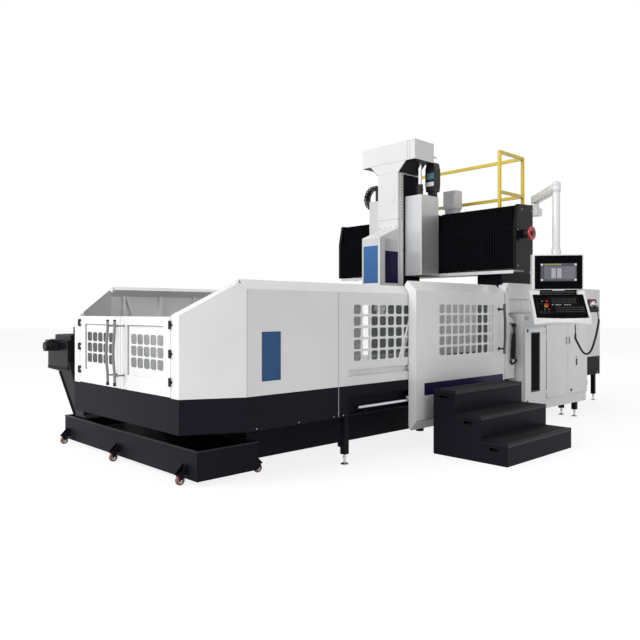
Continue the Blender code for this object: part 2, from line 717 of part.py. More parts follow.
def make_sliding_door():
    path = [
        (DOOR_X - 0.085, DOOR_LOW), (DOOR_X, DOOR_LOW_FOLD), (DOOR_X, DOOR_FOLD), (DOOR_X - DOOR_LIP_IN, DOOR_TOP),
    ]
    panel = section(band(path, DOOR_SHEET), "Y", DOOR_FRONT, DOOR_REAR)
    wall = WALL_X + FREE + 0.003
    inner = [
        (wall, DOOR_LOW + 0.04), (wall, FOLD_Z + 0.004), (wall - LIP_IN + 0.06, LIP_TOP + 0.006),
    ]
    outer = inset_path(path, 0.008)
    flange = section(outer + inner[::-1], "Y", DOOR_FRONT + 0.0005, DOOR_FRONT + 0.03)
    left, right, low, high = DOOR_WINDOW
    cells = list(grid_cells(left, right, low, high, DOOR_COLUMNS, WINDOW_ROWS, GRID_BAR))
    grid = grid_cutter("X", DOOR_X - 0.2, DOOR_X + 0.1, cells)
    back = block((DOOR_X - 0.06, left - 0.03, low - 0.03), (DOOR_X - 0.010, right + 0.03, high + 0.03))
    panel = cut(panel, back, grid)
    grip_x, grip_y = DOOR_X + 0.085, -0.905
    bow = [(1.055, 0.0), (1.12, 0.0), (1.25, 0.008), (1.38, 0.010), (1.51, 0.008), (1.64, 0.0), (1.71, 0.0)]
    grip = rod([(grip_x + bend, grip_y, z) for z, bend in bow], 0.015)
    posts = [rod([(grip_x, grip_y, z), (DOOR_X - BITE, grip_y, z)], 0.009) for z in (1.12, 1.64)]
    claw_y = DOOR_FRONT + 0.03
    upper = block((WALL_X - 0.030, claw_y - 0.01, RAIL_Z - 0.020), (DOOR_X - DOOR_SHEET / 2, claw_y + 0.11, RAIL_Z + 0.020))
    lower = block((WALL_X - 0.045, claw_y - 0.01, ROD_Z + ROD_RADIUS + RUN), (DOOR_X - DOOR_SHEET / 2, claw_y + 0.11, ROD_Z + 0.052))
    door = weld(panel, flange, grip, *posts, upper, lower)
    name_part(door, "side_door", "white")
    glass = block(
        (DOOR_X - 0.010 - SEAT - GLASS, left - 0.02, low - 0.02),
        (DOOR_X - 0.010 - SEAT, right + 0.02, high + 0.02),
    )
    name_part(glass, "side_door_glass", "glass")


def make_door_rod():
    x = WALL_X - 0.030
    front, rear = WINDOW_FRONT + 0.10, DOORWAY_REAR - 0.08
    bar = cylinder(ROD_RADIUS, (x, front, ROD_Z), (x, rear, ROD_Z), sides=12)
    holders = [
        block((WALL_X - 0.075 + SEAT, y - 0.02, ROD_Z - 0.055 + SEAT), (x + 0.008, y + 0.02, ROD_Z))
        for y in (front + 0.10, (front + rear) / 2, rear - 0.06)
    ]
    name_part(weld(bar, *holders), "door_guide_rod", "steel")


def make_rear():
    path = [
        (REAR_X, REAR_START), (REAR_X, REAR_END - REAR_CORNER), (REAR_X - REAR_CHAMFER, REAR_END),
        (-REAR_X + REAR_CHAMFER, REAR_END), (-REAR_X, REAR_END - REAR_CORNER), (-REAR_X, REAR_START),
    ]
    walls = section(band(path, SHEET), "Z", SKIRT_TOP + SEAT, REAR_TOP)
    name_part(walls, "rear_walls", "white")
    skirt = section(band(path, SHEET), "Z", SKIRT_LOW, SKIRT_TOP)
    edge = inset_path(path, SHEET / 2)
    clear = BED_HALF + SEAT
    edge = [(edge[0][0], REAR_START + BITE), *edge[1:-1], (edge[-1][0], REAR_START + BITE)]
    bed_line = [(-clear, REAR_START + BITE), (-clear, BED_REAR + SEAT), (clear, BED_REAR + SEAT), (clear, REAR_START + BITE)]
    tray = section(edge + bed_line, "Z", TRAY_Z, TRAY_Z + TRAY_THICK)
    legs = []
    for side in (-1, 1):
        legs += leg_pieces(side * LEG_REAR[0], LEG_REAR[1], SKIRT_LOW + 2 * BITE)
    name_part(weld(skirt, tray, *legs, solver="MANIFOLD"), "rear_skirt", "black")


# Gantry

def make_gantry():
    for side, name in ((-1, "column_left"), (1, "column_right")):
        near, far = side * (BED_HALF + SEAT), side * COLUMN_OUT
        foot = block((min(near, far), COLUMN_FRONT, BED_BASE), (max(near, far), COLUMN_REAR, BED_SHOULDER - 0.08))
        near = side * COLUMN_IN
        post = block((min(near, far), COLUMN_FRONT + 0.002, BED_SHOULDER - 0.09), (max(near, far), COLUMN_REAR - 0.002, BEAM_LOW - SEAT))
        pads = [
            cylinder(PAD_RADIUS, (side * 1.05, y, 0), (side * 1.05, y, BED_BASE + BITE), sides=12)
            for y in (COLUMN_FRONT + 0.12, COLUMN_REAR - 0.12)
        ]
        name_part(weld(foot, post, *pads), name, "black")
    front = block((-BEAM_HALF, BEAM_FRONT, BEAM_LOW), (BEAM_HALF, BEAM_STEP_Y, BEAM_TOP))
    rear = block((-BEAM_NARROW, BEAM_STEP_Y - BITE, BEAM_LOW), (BEAM_NARROW, BEAM_REAR, BEAM_TOP))
    rails = [
        block((-BEAM_HALF + 0.03, BEAM_FRONT - RAIL_DEEP, z - RAIL_TALL / 2), (BEAM_HALF - 0.03, BEAM_FRONT + BITE, z + RAIL_TALL / 2))
        for z in BEAM_RAILS
    ]
    name_part(weld(front, rear, *rails), "beam", "black")
    strip = section(
        [
            (BEAM_FRONT - SEAT, 2.155), (BEAM_FRONT - SEAT, 2.205), (BEAM_FRONT - 0.008, 2.205), (BEAM_FRONT - 0.008, 2.163),
            (-0.735, 2.163), (-0.735, 2.120), (-0.727, 2.120), (-0.727, 2.155),
        ],
        "X", -BEAM_HALF, BEAM_HALF,
    )
    name_part(strip, "rail_cover", "silver")
    for side, name in ((-1, "beam_end_cap_left"), (1, "beam_end_cap_right")):
        outline = [
            (BELLOWS_FRONT - 0.004, BEAM_LOW - 0.002), (BELLOWS_FRONT - 0.004, BELLOWS_KNEE + 0.004),
            (BELLOWS_FRONT + BELLOWS_BACK_SLOPE - 0.004, BELLOWS_TOP + 0.012), (BEAM_STEP_Y, BELLOWS_TOP + 0.035), (BEAM_STEP_Y, BEAM_LOW - 0.002),
        ]
        ends = sorted((side * (BEAM_HALF + SEAT), side * CAP_X))
        name_part(section(outline, "X", ends[0], ends[1]), name, "black")
    hub = (CAP_X + SEAT, -0.535, 2.655)
    motor = weld(
        cylinder(0.055, hub, (CAP_X + 0.100, hub[1], hub[2]), sides=24),
        cylinder(0.092, (CAP_X + 0.096, hub[1], hub[2]), (CAP_X + 0.122, hub[1], hub[2]), sides=32),
    )
    name_part(motor, "beam_end_motor", "grey")


def make_bellows(side, name):
    """Pleated cover between an end cap and the saddle, with the upper part leaning back."""
    outer, inner = side * (BEAM_HALF - SEAT), HEAD_X + side * (SADDLE_HALF + SEAT)
    step = (inner - outer) / (2 * BELLOWS_PLEATS)
    path = [
        (outer + step * index, BELLOWS_FRONT + (BELLOWS_PLEAT_DEPTH if index % 2 else 0.0))
        for index in range(2 * BELLOWS_PLEATS + 1)
    ]
    if side < 0:
        outline = [(x, y) for x, y in path] + [(x, y + BELLOWS_SKIN * 2) for x, y in reversed(path)]
    else:
        path = path[::-1]
        outline = [(x, y) for x, y in path] + [(x, y + BELLOWS_SKIN * 2) for x, y in reversed(path)]
    item = section(outline, "Z", BELLOWS_LOW, BELLOWS_TOP)
    shape = bmesh.new()
    shape.from_mesh(item.data)
    shape.transform(item.matrix_world)
    parts = shape.verts[:] + shape.edges[:] + shape.faces[:]
    bmesh.ops.bisect_plane(shape, geom=parts, plane_co=(0, 0, BELLOWS_KNEE), plane_no=(0, 0, 1))
    for corner in shape.verts:
        if corner.co.z > BELLOWS_KNEE + 0.001:
            corner.co.y += BELLOWS_BACK_SLOPE
    item.matrix_world = Matrix.Identity(4)
    shape.to_mesh(item.data)
    shape.free()
    name_part(item, name, "rubber")


def make_railing():
    half = RAILING_BAR / 2
    top, base = RAILING_TOP, BEAM_TOP + SEAT

    def bar(a, b):
        low = [min(p, q) - half for p, q in zip(a, b)]
        high = [max(p, q) + half for p, q in zip(a, b)]
        return block(low, high)

    posts = [(RAILING_X, RAILING_FRONT), (RAILING_X, RAILING_REAR), (-RAILING_X, RAILING_REAR)]
    pieces = []
    for x, y in posts:
        pieces.append(block((x - half, y - half, base), (x + half, y + half, top + half)))
        pieces.append(block((x - 0.045, y - 0.03, base), (x + 0.045, y + 0.045, base + 0.008)))
    shift = 0.0007
    for z in (top - shift, RAILING_MID):
        pieces.append(bar((RAILING_X + shift, RAILING_FRONT + shift, z), (RAILING_X - shift, RAILING_REAR - shift, z)))
        pieces.append(bar((-RAILING_X + 0.002, RAILING_REAR - 0.002, z - 0.002), (RAILING_X - 0.002, RAILING_REAR + 0.002, z + 0.002)))
    name_part(weld(*pieces), "platform_railing", "yellow")


def make_beam_box():
    body = block((0.19, -0.295, BEAM_TOP + SEAT), (0.385, -0.16, 3.17))
    cover = block((0.17, -0.31, 3.165), (0.402, -0.145, 3.44))
    name_part(weld(body, cover), "terminal_box", "white")


# Saddle and ram

def make_saddle():
    low, high = SADDLE_LOW, SADDLE_TOP
    left, right = HEAD_X - SADDLE_HALF, HEAD_X + SADDLE_HALF
    back = BEAM_FRONT - RAIL_DEEP - 0.016
    plate = block((left, SADDLE_FRONT, low), (right, back, high))
    blocks = []
    for z in BEAM_RAILS:
        for x in (left + 0.14, right - 0.14):
            blocks.append(block((x - 0.10, back - BITE, z - 0.055), (x + 0.10, BEAM_FRONT - FREE, z + 0.055)))
    grooves = [
        block((left - 0.1, BEAM_FRONT - RAIL_DEEP - RUN, z - RAIL_TALL / 2 - RUN), (right + 0.1, BEAM_FRONT + 0.1, z + RAIL_TALL / 2 + RUN))
        for z in BEAM_RAILS
    ]
    shoes = [
        block(
            (HEAD_X + offset - 0.045, RAM_BACK + FREE, z - 0.06),
            (HEAD_X + offset + 0.045, SADDLE_FRONT + BITE, z + 0.06),
        )
        for offset in (-RAM_RAIL, RAM_RAIL) for z in RAM_SHOES
    ]
    ways = [
        block(
            (HEAD_X + offset - 0.022 - RUN, RAM_BACK - 0.1, low - 0.1),
            (HEAD_X + offset + 0.022 + RUN, RAM_BACK + RAIL_DEEP + RUN, high + 0.1),
        )
        for offset in (-RAM_RAIL, RAM_RAIL)
    ]
    shelves = []
    for side in (-1, 1):
        x0 = HEAD_X + side * (SIDE_COVER_IN + COVER_SHEET + SEAT)
        x1 = HEAD_X + side * (SADDLE_HALF - COVER_SHEET - SEAT)
        shelves.append(block(
            (min(x0, x1), SIDE_COVER_FRONT + COVER_SHEET + SEAT, low + 0.001),
            (max(x0, x1), SADDLE_FRONT + BITE, low + 0.04),
        ))
    saddle = weld(plate, *blocks)
    saddle = weld(cut(saddle, *grooves), *shoes, *shelves)
    saddle = cut(saddle, *ways)
    name_part(saddle, "saddle", "black", origin=(HEAD_X, SADDLE_FRONT, low))
    for side, word in ((-1, "left"), (1, "right")):
        inner, outer = HEAD_X + side * SIDE_COVER_IN, HEAD_X + side * SADDLE_HALF
        x0, x1 = min(inner, outer), max(inner, outer)
        path = [(x0, SIDE_COVER_FRONT), (x1, SIDE_COVER_FRONT), (x1, SADDLE_FRONT - SEAT), (x0, SADDLE_FRONT - SEAT)]
        hole = [
            (x0 + COVER_SHEET, SIDE_COVER_FRONT + COVER_SHEET), (x1 - COVER_SHEET, SIDE_COVER_FRONT + COVER_SHEET),
            (x1 - COVER_SHEET, SADDLE_FRONT - SEAT - 0.003), (x0 + COVER_SHEET, SADDLE_FRONT - SEAT - 0.003),
        ]
        shelf_gap = [(x0 + COVER_SHEET, SADDLE_FRONT - 0.05), (x1 - COVER_SHEET, SADDLE_FRONT - 0.05)]
        cover = section(path, "Z", SIDE_COVER_LOW, SIDE_COVER_TOP, holes=[hole])
        window = block(
            (shelf_gap[0][0], SADDLE_FRONT - 0.01, SIDE_COVER_LOW - 0.1),
            (shelf_gap[1][0], SADDLE_FRONT + 0.01, low + 0.06),
        )
        name_part(cut(cover, window), "side_cover_" + word, "silver")
        x = HEAD_X + side * PISTON_X
        tube = cylinder(CYLINDER_RADIUS, (x, PISTON_Y, low + 0.04 + SEAT), (x, PISTON_Y, CYLINDER_TOP), sides=16)
        bore = cylinder(PISTON_RADIUS + RUN, (x, PISTON_Y, PISTON_LOW - RAM_DOWN - 0.03), (x, PISTON_Y, CYLINDER_TOP + 0.1), sides=16)
        name_part(cut(tube, bore), "balance_cylinder_" + word, "grey")


def make_ram():
    left, right = HEAD_X - RAM_HALF, HEAD_X + RAM_HALF
    body = block((left, RAM_FRONT, RAM_LOW), (right, RAM_BACK, RAM_TOP))
    rails = [
        block(
            (HEAD_X + offset - 0.022, RAM_BACK - BITE, RAM_LOW + 0.03),
            (HEAD_X + offset + 0.022, RAM_BACK + RAIL_DEEP, RAM_TOP - 0.03),
        )
        for offset in (-RAM_RAIL, RAM_RAIL)
    ]
    name_part(weld(body, *rails), "ram", "white", origin=(HEAD_X, RAM_BACK, RAM_LOW))
    outline = [
        (-HOOD_HALF, HOOD_TOP), (-HOOD_HALF, HOOD_LOW), (-GUSSET_OUT, HOOD_LOW), (-GUSSET_IN, RAM_TOP + SEAT),
        (GUSSET_IN, RAM_TOP + SEAT), (GUSSET_OUT, HOOD_LOW), (HOOD_HALF, HOOD_LOW), (HOOD_HALF, HOOD_TOP),
    ]
    hood = section([(HEAD_X + x, z) for x, z in outline], "Y", RAM_FRONT, HOOD_BACK)
    rods = [
        cylinder(PISTON_RADIUS, (HEAD_X + side * PISTON_X, PISTON_Y, PISTON_LOW), (HEAD_X + side * PISTON_X, PISTON_Y, HOOD_LOW + 0.06), sides=16)
        for side in (-1, 1)
    ]
    name_part(weld(hood, *rods, solver="MANIFOLD"), "ram_hood", "white")
    outline = [
        (RAM_FRONT - SEAT, HEAD_LOW), (HEAD_FRONT, HEAD_LOW), (HEAD_FRONT, HEAD_SLOPE_LOW), (RAM_FRONT - SEAT, HEAD_SLOPE_TOP),
    ]
    name_part(section(outline, "X", HEAD_LEFT, HEAD_RIGHT), "head_cover", "white")
    middle = (HEAD_LEFT + HEAD_RIGHT) / 2
    spindle = weld(
        cylinder(0.125, (middle, SPINDLE_Y, HEAD_LOW - SEAT), (middle, SPINDLE_Y, 1.74), sides=24),
        cylinder(0.095, (middle, SPINDLE_Y, 1.742), (middle, SPINDLE_Y, 1.62), sides=24),
        cylinder(0.064, (middle, SPINDLE_Y, 1.622), (middle, SPINDLE_Y, 1.58), sides=24),
    )
    name_part(spindle, "spindle", "steel")


def make_drag_chain():
    """Cable chain that leaves the saddle's side cover and loops beside it."""
    middle_x, middle_z, radius, links = HEAD_X - 0.54, 3.36, 0.16, 9
    y0, y1 = -1.02, -0.92
    pieces = []
    for index in range(links):
        angle = math.radians(90 + 180 * index / (links - 1))
        piece = block((-0.034, y0, radius - 0.026), (0.034, y1, radius + 0.026))
        piece.matrix_world = Matrix.Translation((
            middle_x + radius * math.cos(angle), (y0 + y1) / 2, middle_z + radius * math.sin(angle),
        )) @ Matrix.Rotation(math.radians(90) - angle, 4, "Y")
        pieces.append(piece)
    foot = block(
        (HEAD_X - SADDLE_HALF, y0 + 0.01, SIDE_COVER_TOP + SEAT),
        (HEAD_X - SADDLE_HALF + 0.085, y1 - 0.01, middle_z + radius + 0.02),
    )
    top = block(
        (middle_x - 0.02, y0 + 0.012, middle_z + radius - 0.02),
        (HEAD_X - SADDLE_HALF + 0.075, y1 - 0.012, middle_z + radius + 0.018),
    )
    name_part(weld(*pieces, top, foot), "cable_chain", "black")


def make_lubricator():
    x0, x1 = HEAD_X + SADDLE_HALF - 0.168, HEAD_X + SADDLE_HALF - 0.004
    base = SIDE_COVER_TOP
    post = block((x0 + 0.03, -0.82, base + SEAT), (x1 + 0.003, -0.77, base + 0.12))
    tank = section(
        [
            (x0 + 0.01, base + 0.083), (x1 - 0.01, base + 0.083), (x1 + 0.004, base + 0.183), (x1 + 0.004, base + 0.403),
            (x1 - 0.02, base + 0.503), (x0 + 0.02, base + 0.503), (x0 - 0.004, base + 0.403), (x0 - 0.004, base + 0.183),
        ],
        "Y", -0.84, -0.70,
    )
    name_part(weld(tank, post), "lubrication_unit", "black")


# Stairs, cabinets, pendant, tank and conveyor

def make_stairs():
    outline = [(STAIR_IN, 0.0)]
    outline += [(TREADS[0][0], 0.0)]
    for index, (nose, height) in enumerate(TREADS):
        outline.append((nose, height))
        if index + 1 < len(TREADS):
            outline.append((TREADS[index + 1][0], height))
    outline.append((STAIR_IN, TREADS[-1][1]))
    body = section(outline, "Y", STAIR_FRONT, STAIR_REAR)
    holes = []
    for nose, height in TREADS:
        x = nose - 0.16
        cell = soft_rectangle(x - 0.06, height - 0.10, 0.12, 0.042, 0.018)
        holes.append(section(cell, "Y", STAIR_FRONT - 0.05, STAIR_FRONT + 0.05))
    name_part(cut(body, *holes), "stairs", "black")


def cabinet_door(name, low_y, high_y, low, high, hinge_low, window=None):
    """Door leaf in front of a cabinet with two knuckle hinges on one edge."""
    face = CABINET_X + FREE
    leaf = block((face, low_y, low), (face + CABINET_DOOR, high_y, high))
    if window:
        pane = block((face + 0.014, window[0], window[2]), (face + 0.1, window[1], window[3]))
        leaf = cut(leaf, pane)
    axis_x, axis_y = face + CABINET_DOOR, low_y if hinge_low else high_y
    axis_y += -0.006 if hinge_low else 0.006
    inward = 1 if hinge_low else -1
    pieces = []
    for z in (low + 0.14, high - 0.14):
        pieces.append(cylinder(0.005, (axis_x, axis_y, z - 0.02), (axis_x, axis_y, z + 0.02), sides=6))
        ends = sorted((axis_y, axis_y + inward * 0.02))
        pieces.append(block((axis_x - 0.004, ends[0], z - 0.019), (axis_x + 0.002, ends[1], z + 0.019)))
    name_part(weld(leaf, *pieces), name, "white", origin=(axis_x, axis_y, low))
    return axis_x, axis_y


def cabinet_hinge_posts(low_y, high_y, low, high, hinge_low):
    """Fixed knuckles above and below each door knuckle, on a strip of the cabinet."""
    face = CABINET_X + FREE
    axis_x, axis_y = face + CABINET_DOOR, (low_y - 0.006) if hinge_low else (high_y + 0.006)
    pieces = []
    for z in (low + 0.14, high - 0.14):
        for start, end in ((z - 0.036, z - 0.02 - RUN), (z + 0.02 + RUN, z + 0.036)):
            pieces.append(cylinder(0.005, (axis_x, axis_y, start), (axis_x, axis_y, end), sides=6))
            pieces.append(block((CABINET_X - BITE, axis_y - 0.002, start + 0.001), (axis_x, axis_y + 0.002, end - 0.001)))
    return pieces


def make_cabinets():
    y0, y1, low, high = SMALL_CABINET
    gap = 0.012
    door = (y0 + gap, y1 - gap, low + 0.02, SMALL_DOOR_TOP)
    body = block((CABINET_BACK, y0, low), (CABINET_X, y1, high))
    name_part(weld(body, *cabinet_hinge_posts(*door, hinge_low=False)), "small_cabinet", "white")
    cabinet_door("small_cabinet_door", *door, hinge_low=False, window=(-0.262, -0.038, 0.51, 1.31))
    y0, y1, low, high = MAIN_CABINET
    middle = (y0 + y1) / 2
    left = (y0 + gap, middle - FREE / 2, low + MAIN_PLINTH, high - 0.02)
    right = (middle + FREE / 2, y1 - gap, low + MAIN_PLINTH, high - 0.02)
    body = block((CABINET_BACK, y0, low), (CABINET_X, y1, high))
    posts = cabinet_hinge_posts(*left, hinge_low=True) + cabinet_hinge_posts(*right, hinge_low=False)
    legs = leg_pieces(CABINET_X - 0.05, y1 - 0.287, low + BITE) + leg_pieces(CABINET_X - 0.26, y1 - 0.287, low + BITE)
    name_part(weld(body, *posts, *legs), "main_cabinet", "white")
    cabinet_door("main_cabinet_door_left", *left, hinge_low=True)
    cabinet_door("main_cabinet_door_right", *right, hinge_low=False)


def make_pendant():
    px, py = BOOM_PIVOT
    bracket = section(
        [
            (BEAM_NARROW + SEAT, BEAM_TOP - 0.12), (BEAM_NARROW + 0.02, BEAM_TOP - 0.12), (BEAM_NARROW + 0.02, BEAM_TOP),
            (px + 0.07, BEAM_TOP), (px + 0.07, BEAM_TOP + 0.105), (px, BOOM_SEAT - 0.02),
            (BEAM_NARROW + SEAT, BOOM_SEAT - 0.02),
        ],
        "Y", py - 0.075, py + 0.075,
    )
    post = cylinder(ELBOW_RADIUS, (px, py, BOOM_SEAT - 0.06), (px, py, BOOM_SEAT - RUN), sides=16)
    name_part(weld(bracket, post), "pendant_base", "white")
    along = Vector((PIPE_X - px, PIPE_Y - py, 0))
    turn = Matrix.Translation((px, py, 0)) @ Matrix.Rotation(math.atan2(along.y, along.x), 4, "Z")
    boom = block((0, -BOOM_HALF, BOOM_Z - BOOM_HALF), (along.length, BOOM_HALF, BOOM_Z + BOOM_HALF))
    boom.matrix_world = turn @ boom.matrix_world
    hub = cylinder(ELBOW_RADIUS, (px, py, BOOM_SEAT), (px, py, BOOM_Z + BOOM_HALF + BITE), sides=16)
    elbow = cylinder(ELBOW_RADIUS, (PIPE_X, PIPE_Y, BOOM_SEAT), (PIPE_X, PIPE_Y, BOOM_Z + BOOM_HALF + BITE), sides=16)
    dome = cylinder(
        ELBOW_RADIUS, (PIPE_X, PIPE_Y, BOOM_Z + BOOM_HALF), (PIPE_X, PIPE_Y, ELBOW_TOP), sides=16,
        end_radius=ELBOW_RADIUS * 0.55,
    )
    pipe = cylinder(PIPE_RADIUS, (PIPE_X, PIPE_Y, COLLAR_TOP + RUN), (PIPE_X, PIPE_Y, BOOM_Z), sides=16)
    name_part(weld(boom, hub, elbow, dome, pipe), "pendant_boom", "white", origin=(px, py, BOOM_SEAT))
    facing = Matrix.Translation((PIPE_X, PIPE_Y, 0)) @ Matrix.Rotation(math.radians(PENDANT_FACING), 4, "Z")
    wide, front, back, low, high = MONITOR
    neck_half, neck_low = NECK
    collar = cylinder(COLLAR_RADIUS, (0, 0, high - BITE), (0, 0, COLLAR_TOP), sides=16)
    case = block((-wide / 2, front, low), (wide / 2, back, high))
    neck = block((-neck_half, front - 0.004, neck_low), (neck_half, back - 0.01, low + BITE))
    axis = (PIPE_X, PIPE_Y, high)
    name_part(turned(weld(case, collar, neck), facing), "pendant_monitor", "white", origin=axis)
    slope = [(front + 0.01, low - 0.058), (-0.385, 1.520)]
    housing = section(
        [(0.05, low - SEAT), (front + 0.025, low - SEAT), *slope, (-0.402, 1.475), (-0.375, 1.447), (0.05, 1.720)],
        "X", -DECK_HALF, DECK_HALF,
    )
    bow = [(DECK_HALF * index / 4, -0.402 + 0.030 * (index / 4) ** 2) for index in range(-4, 5)]
    plan = section([(-DECK_HALF, 0.1), *bow, (DECK_HALF, 0.1)], "Z", 1.40, 1.95)
    housing = boolean(housing, [plan], "INTERSECT")
    notch = block((-neck_half - SEAT, front - 0.05, neck_low - SEAT), (neck_half + SEAT, 0.1, low + 0.1))
    housing = cut(housing, notch)
    near, far = HANDWHEEL
    arm = block((DECK_HALF - BITE, -0.20, 1.655), (near - SEAT, -0.17, 1.685))
    cable_start = Vector(CABLE_ROUTE[0])
    gland = rod([cable_start + Vector((0, 0, SEAT)), cable_start + Vector((0, 0, 0.32))], 0.006, around=1)
    name_part(turned(weld(housing, arm, gland), facing), "pendant_keyboard", "white", origin=axis)
    body = section([(-0.138, 1.769), (-0.277, 1.629), (-0.249, 1.601), (-0.110, 1.741)], "X", near, far)
    middle = (near + far) / 2
    knob = cylinder(0.030, (middle, -0.222, 1.675), (middle, -0.244, 1.697), sides=12)
    cable_end = Vector(CABLE_ROUTE[-1])
    lead = rod([cable_end + Vector((0, 0, SEAT)), (0.463, -0.250, 1.512), (0.440, -0.255, 1.622)], 0.006, around=1)
    name_part(turned(weld(body, knob, lead), facing), "handwheel", "black", origin=axis)
    cable = rod(CABLE_ROUTE, CABLE_RADIUS, around=1)
    name_part(turned(cable, facing), "handwheel_cable", "rubber", origin=axis)


def turned(item, matrix):
    item.matrix_world = matrix @ item.matrix_world
    return item


def make_coolant_tank():
    x0, x1, y0, y1, low, high = TANK
    body = block((x0, y0, low), (x1, y1, high))
    inside = block((x0 + TANK_SHEET, y0 + TANK_SHEET, low + TANK_SHEET), (x1 - TANK_SHEET, y1 - TANK_SHEET, high + 0.1))
    body = cut(body, inside)
    wheels = []
    for y, outward, places in ((y0, -1, CASTERS_FRONT), (y1, 1, CASTERS_REAR)):
        for x in places:
            plate = section(
                [(x - 0.05, low + 0.14), (x + 0.03, low + 0.14), (x + 0.03, low + 0.05), (x - 0.05, low + 0.02)],
                "Y", min(y - outward * BITE, y + outward * 0.10), max(y - outward * BITE, y + outward * 0.10),
            )
            wheel_y = y + outward * 0.062
            wheel = cylinder(CASTER_RADIUS, (x - 0.02, wheel_y, CASTER_RADIUS), (x + 0.012, wheel_y, CASTER_RADIUS), sides=14)
            wheels += [plate, wheel]
    name_part(weld(body, *wheels), "coolant_tank", "black")


def make_conveyor():
    floor = TANK[4] + TANK_SHEET + SEAT
    y0, y1 = CONVEYOR_Y
    left, right, low, high = CONVEYOR_HEAD
    outline = [
        (CONVEYOR_FOOT, floor), (CONVEYOR_FOOT, 0.34), (CONVEYOR_FOOT - 0.06, 0.38), (right, 0.98), (right, high),
        (left + 0.07, high), (left, high - 0.06), (left, low + 0.015), (left + 0.39, low), (CONVEYOR_HEEL, 0.35),
        (CONVEYOR_HEEL, floor),
    ]
    body = section(outline, "Y", y0, y1)
    lid = block((left + 0.16, y0 + 0.03, high - BITE), (right - 0.02, y1 - 0.03, high + 0.06))
    gearbox = block((right - 0.16, y0 + 0.12, high + 0.05), (right - 0.03, y0 + 0.34, high + 0.16))
    motor = cylinder(0.06, (left + 0.24, y0 - 0.14, high - 0.09), (left + 0.24, y0 + BITE, high - 0.09), sides=20)
    name_part(weld(body, lid, gearbox, motor), "chip_conveyor", "black")


def main():
    make_bed()
    make_table()
    way_cover("front_way_cover", TABLE_FRONT - SEAT, BED_FRONT + 0.05)
    way_cover("rear_way_cover", TABLE_REAR + SEAT, BED_REAR - 0.05)
    make_front_skirt()
    side_skirt("side_skirt_right", 1, SEAM_Y + SEAT, COLUMN_FRONT - 0.02, recess=True)
    side_skirt("side_skirt_left", -1, SEAM_Y + SEAT, COLUMN_FRONT - 0.02, recess=False)
    make_corner_panel(1)
    make_corner_panel(-1)
    make_front_door(1)
    make_front_door(-1)
    make_side_walls()
    make_end_trim()
    make_sliding_door()
    make_door_rod()
    make_rear()
    make_gantry()
    make_bellows(1, "bellows_right")
    make_bellows(-1, "bellows_left")
    make_railing()
    make_beam_box()
    make_saddle()
    make_ram()
    make_drag_chain()
    make_lubricator()
    make_stairs()
    make_cabinets()
    make_pendant()
    make_coolant_tank()
    make_conveyor()


main()
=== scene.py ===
"""Looks of a gantry machining center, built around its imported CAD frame."""

import json
import math

import bmesh
import bpy
import numpy as np
from mathutils import Matrix, Vector

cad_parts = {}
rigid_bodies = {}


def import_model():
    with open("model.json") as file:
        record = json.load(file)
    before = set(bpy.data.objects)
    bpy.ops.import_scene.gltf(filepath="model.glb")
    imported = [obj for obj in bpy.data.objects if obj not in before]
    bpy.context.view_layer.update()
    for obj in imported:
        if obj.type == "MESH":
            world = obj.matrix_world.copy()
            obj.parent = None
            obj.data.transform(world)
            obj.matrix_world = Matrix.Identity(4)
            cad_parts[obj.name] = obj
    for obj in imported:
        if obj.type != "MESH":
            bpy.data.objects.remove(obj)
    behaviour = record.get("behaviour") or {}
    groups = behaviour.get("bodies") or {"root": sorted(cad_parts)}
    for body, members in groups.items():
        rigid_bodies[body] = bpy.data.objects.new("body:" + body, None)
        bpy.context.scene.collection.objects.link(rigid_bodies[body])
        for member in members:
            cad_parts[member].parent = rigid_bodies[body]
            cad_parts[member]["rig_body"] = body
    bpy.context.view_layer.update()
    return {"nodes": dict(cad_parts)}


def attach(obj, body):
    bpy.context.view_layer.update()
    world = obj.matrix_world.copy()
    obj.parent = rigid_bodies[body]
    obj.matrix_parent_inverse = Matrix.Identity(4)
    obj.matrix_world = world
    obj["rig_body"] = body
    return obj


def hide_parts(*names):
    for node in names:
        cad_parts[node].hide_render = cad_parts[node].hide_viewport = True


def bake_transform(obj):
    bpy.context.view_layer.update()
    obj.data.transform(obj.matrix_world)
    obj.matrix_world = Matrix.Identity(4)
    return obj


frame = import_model()

bl_info = {
    "name": "Gantry machining center",
    "version": (1, 0, 0),
    "blender": (4, 5, 0),
    "location": "3D View > Sidebar > Machine",
    "description": "Builds the finishes and the fine pieces of a gantry machining center",
    "category": "Add Mesh",
}

# Shader sockets written as expressions


class Sock:
    """A shader socket that arithmetic can be written on."""

    def __init__(self, tree, socket):
        self.tree, self.socket = tree, socket

    def math(self, operation, *values, clamp=False):
        return self.tree.node(
            "ShaderNodeMath", {"operation": operation, "use_clamp": clamp}, dict(enumerate([self, *values]))
        )

    def __add__(self, other):
        return self.math("ADD", other)

    __radd__ = __add__

    def __sub__(self, other):
        return self.math("SUBTRACT", other)

    def __rsub__(self, other):
        return self.tree.node("ShaderNodeMath", {"operation": "SUBTRACT"}, {0: other, 1: self})

    def __mul__(self, other):
        return self.math("MULTIPLY", other)

    __rmul__ = __mul__

    def __truediv__(self, other):
        return self.math("DIVIDE", other)

    def over(self, edge, soft=0.001):
        """1 where the value is past the edge, 0 before it."""
        return ((self - edge) / soft).math("ADD", 0.5, clamp=True)

    def between(self, low, high, soft=0.001):
        return self.over(low, soft) * (1 - self.over(high, soft))


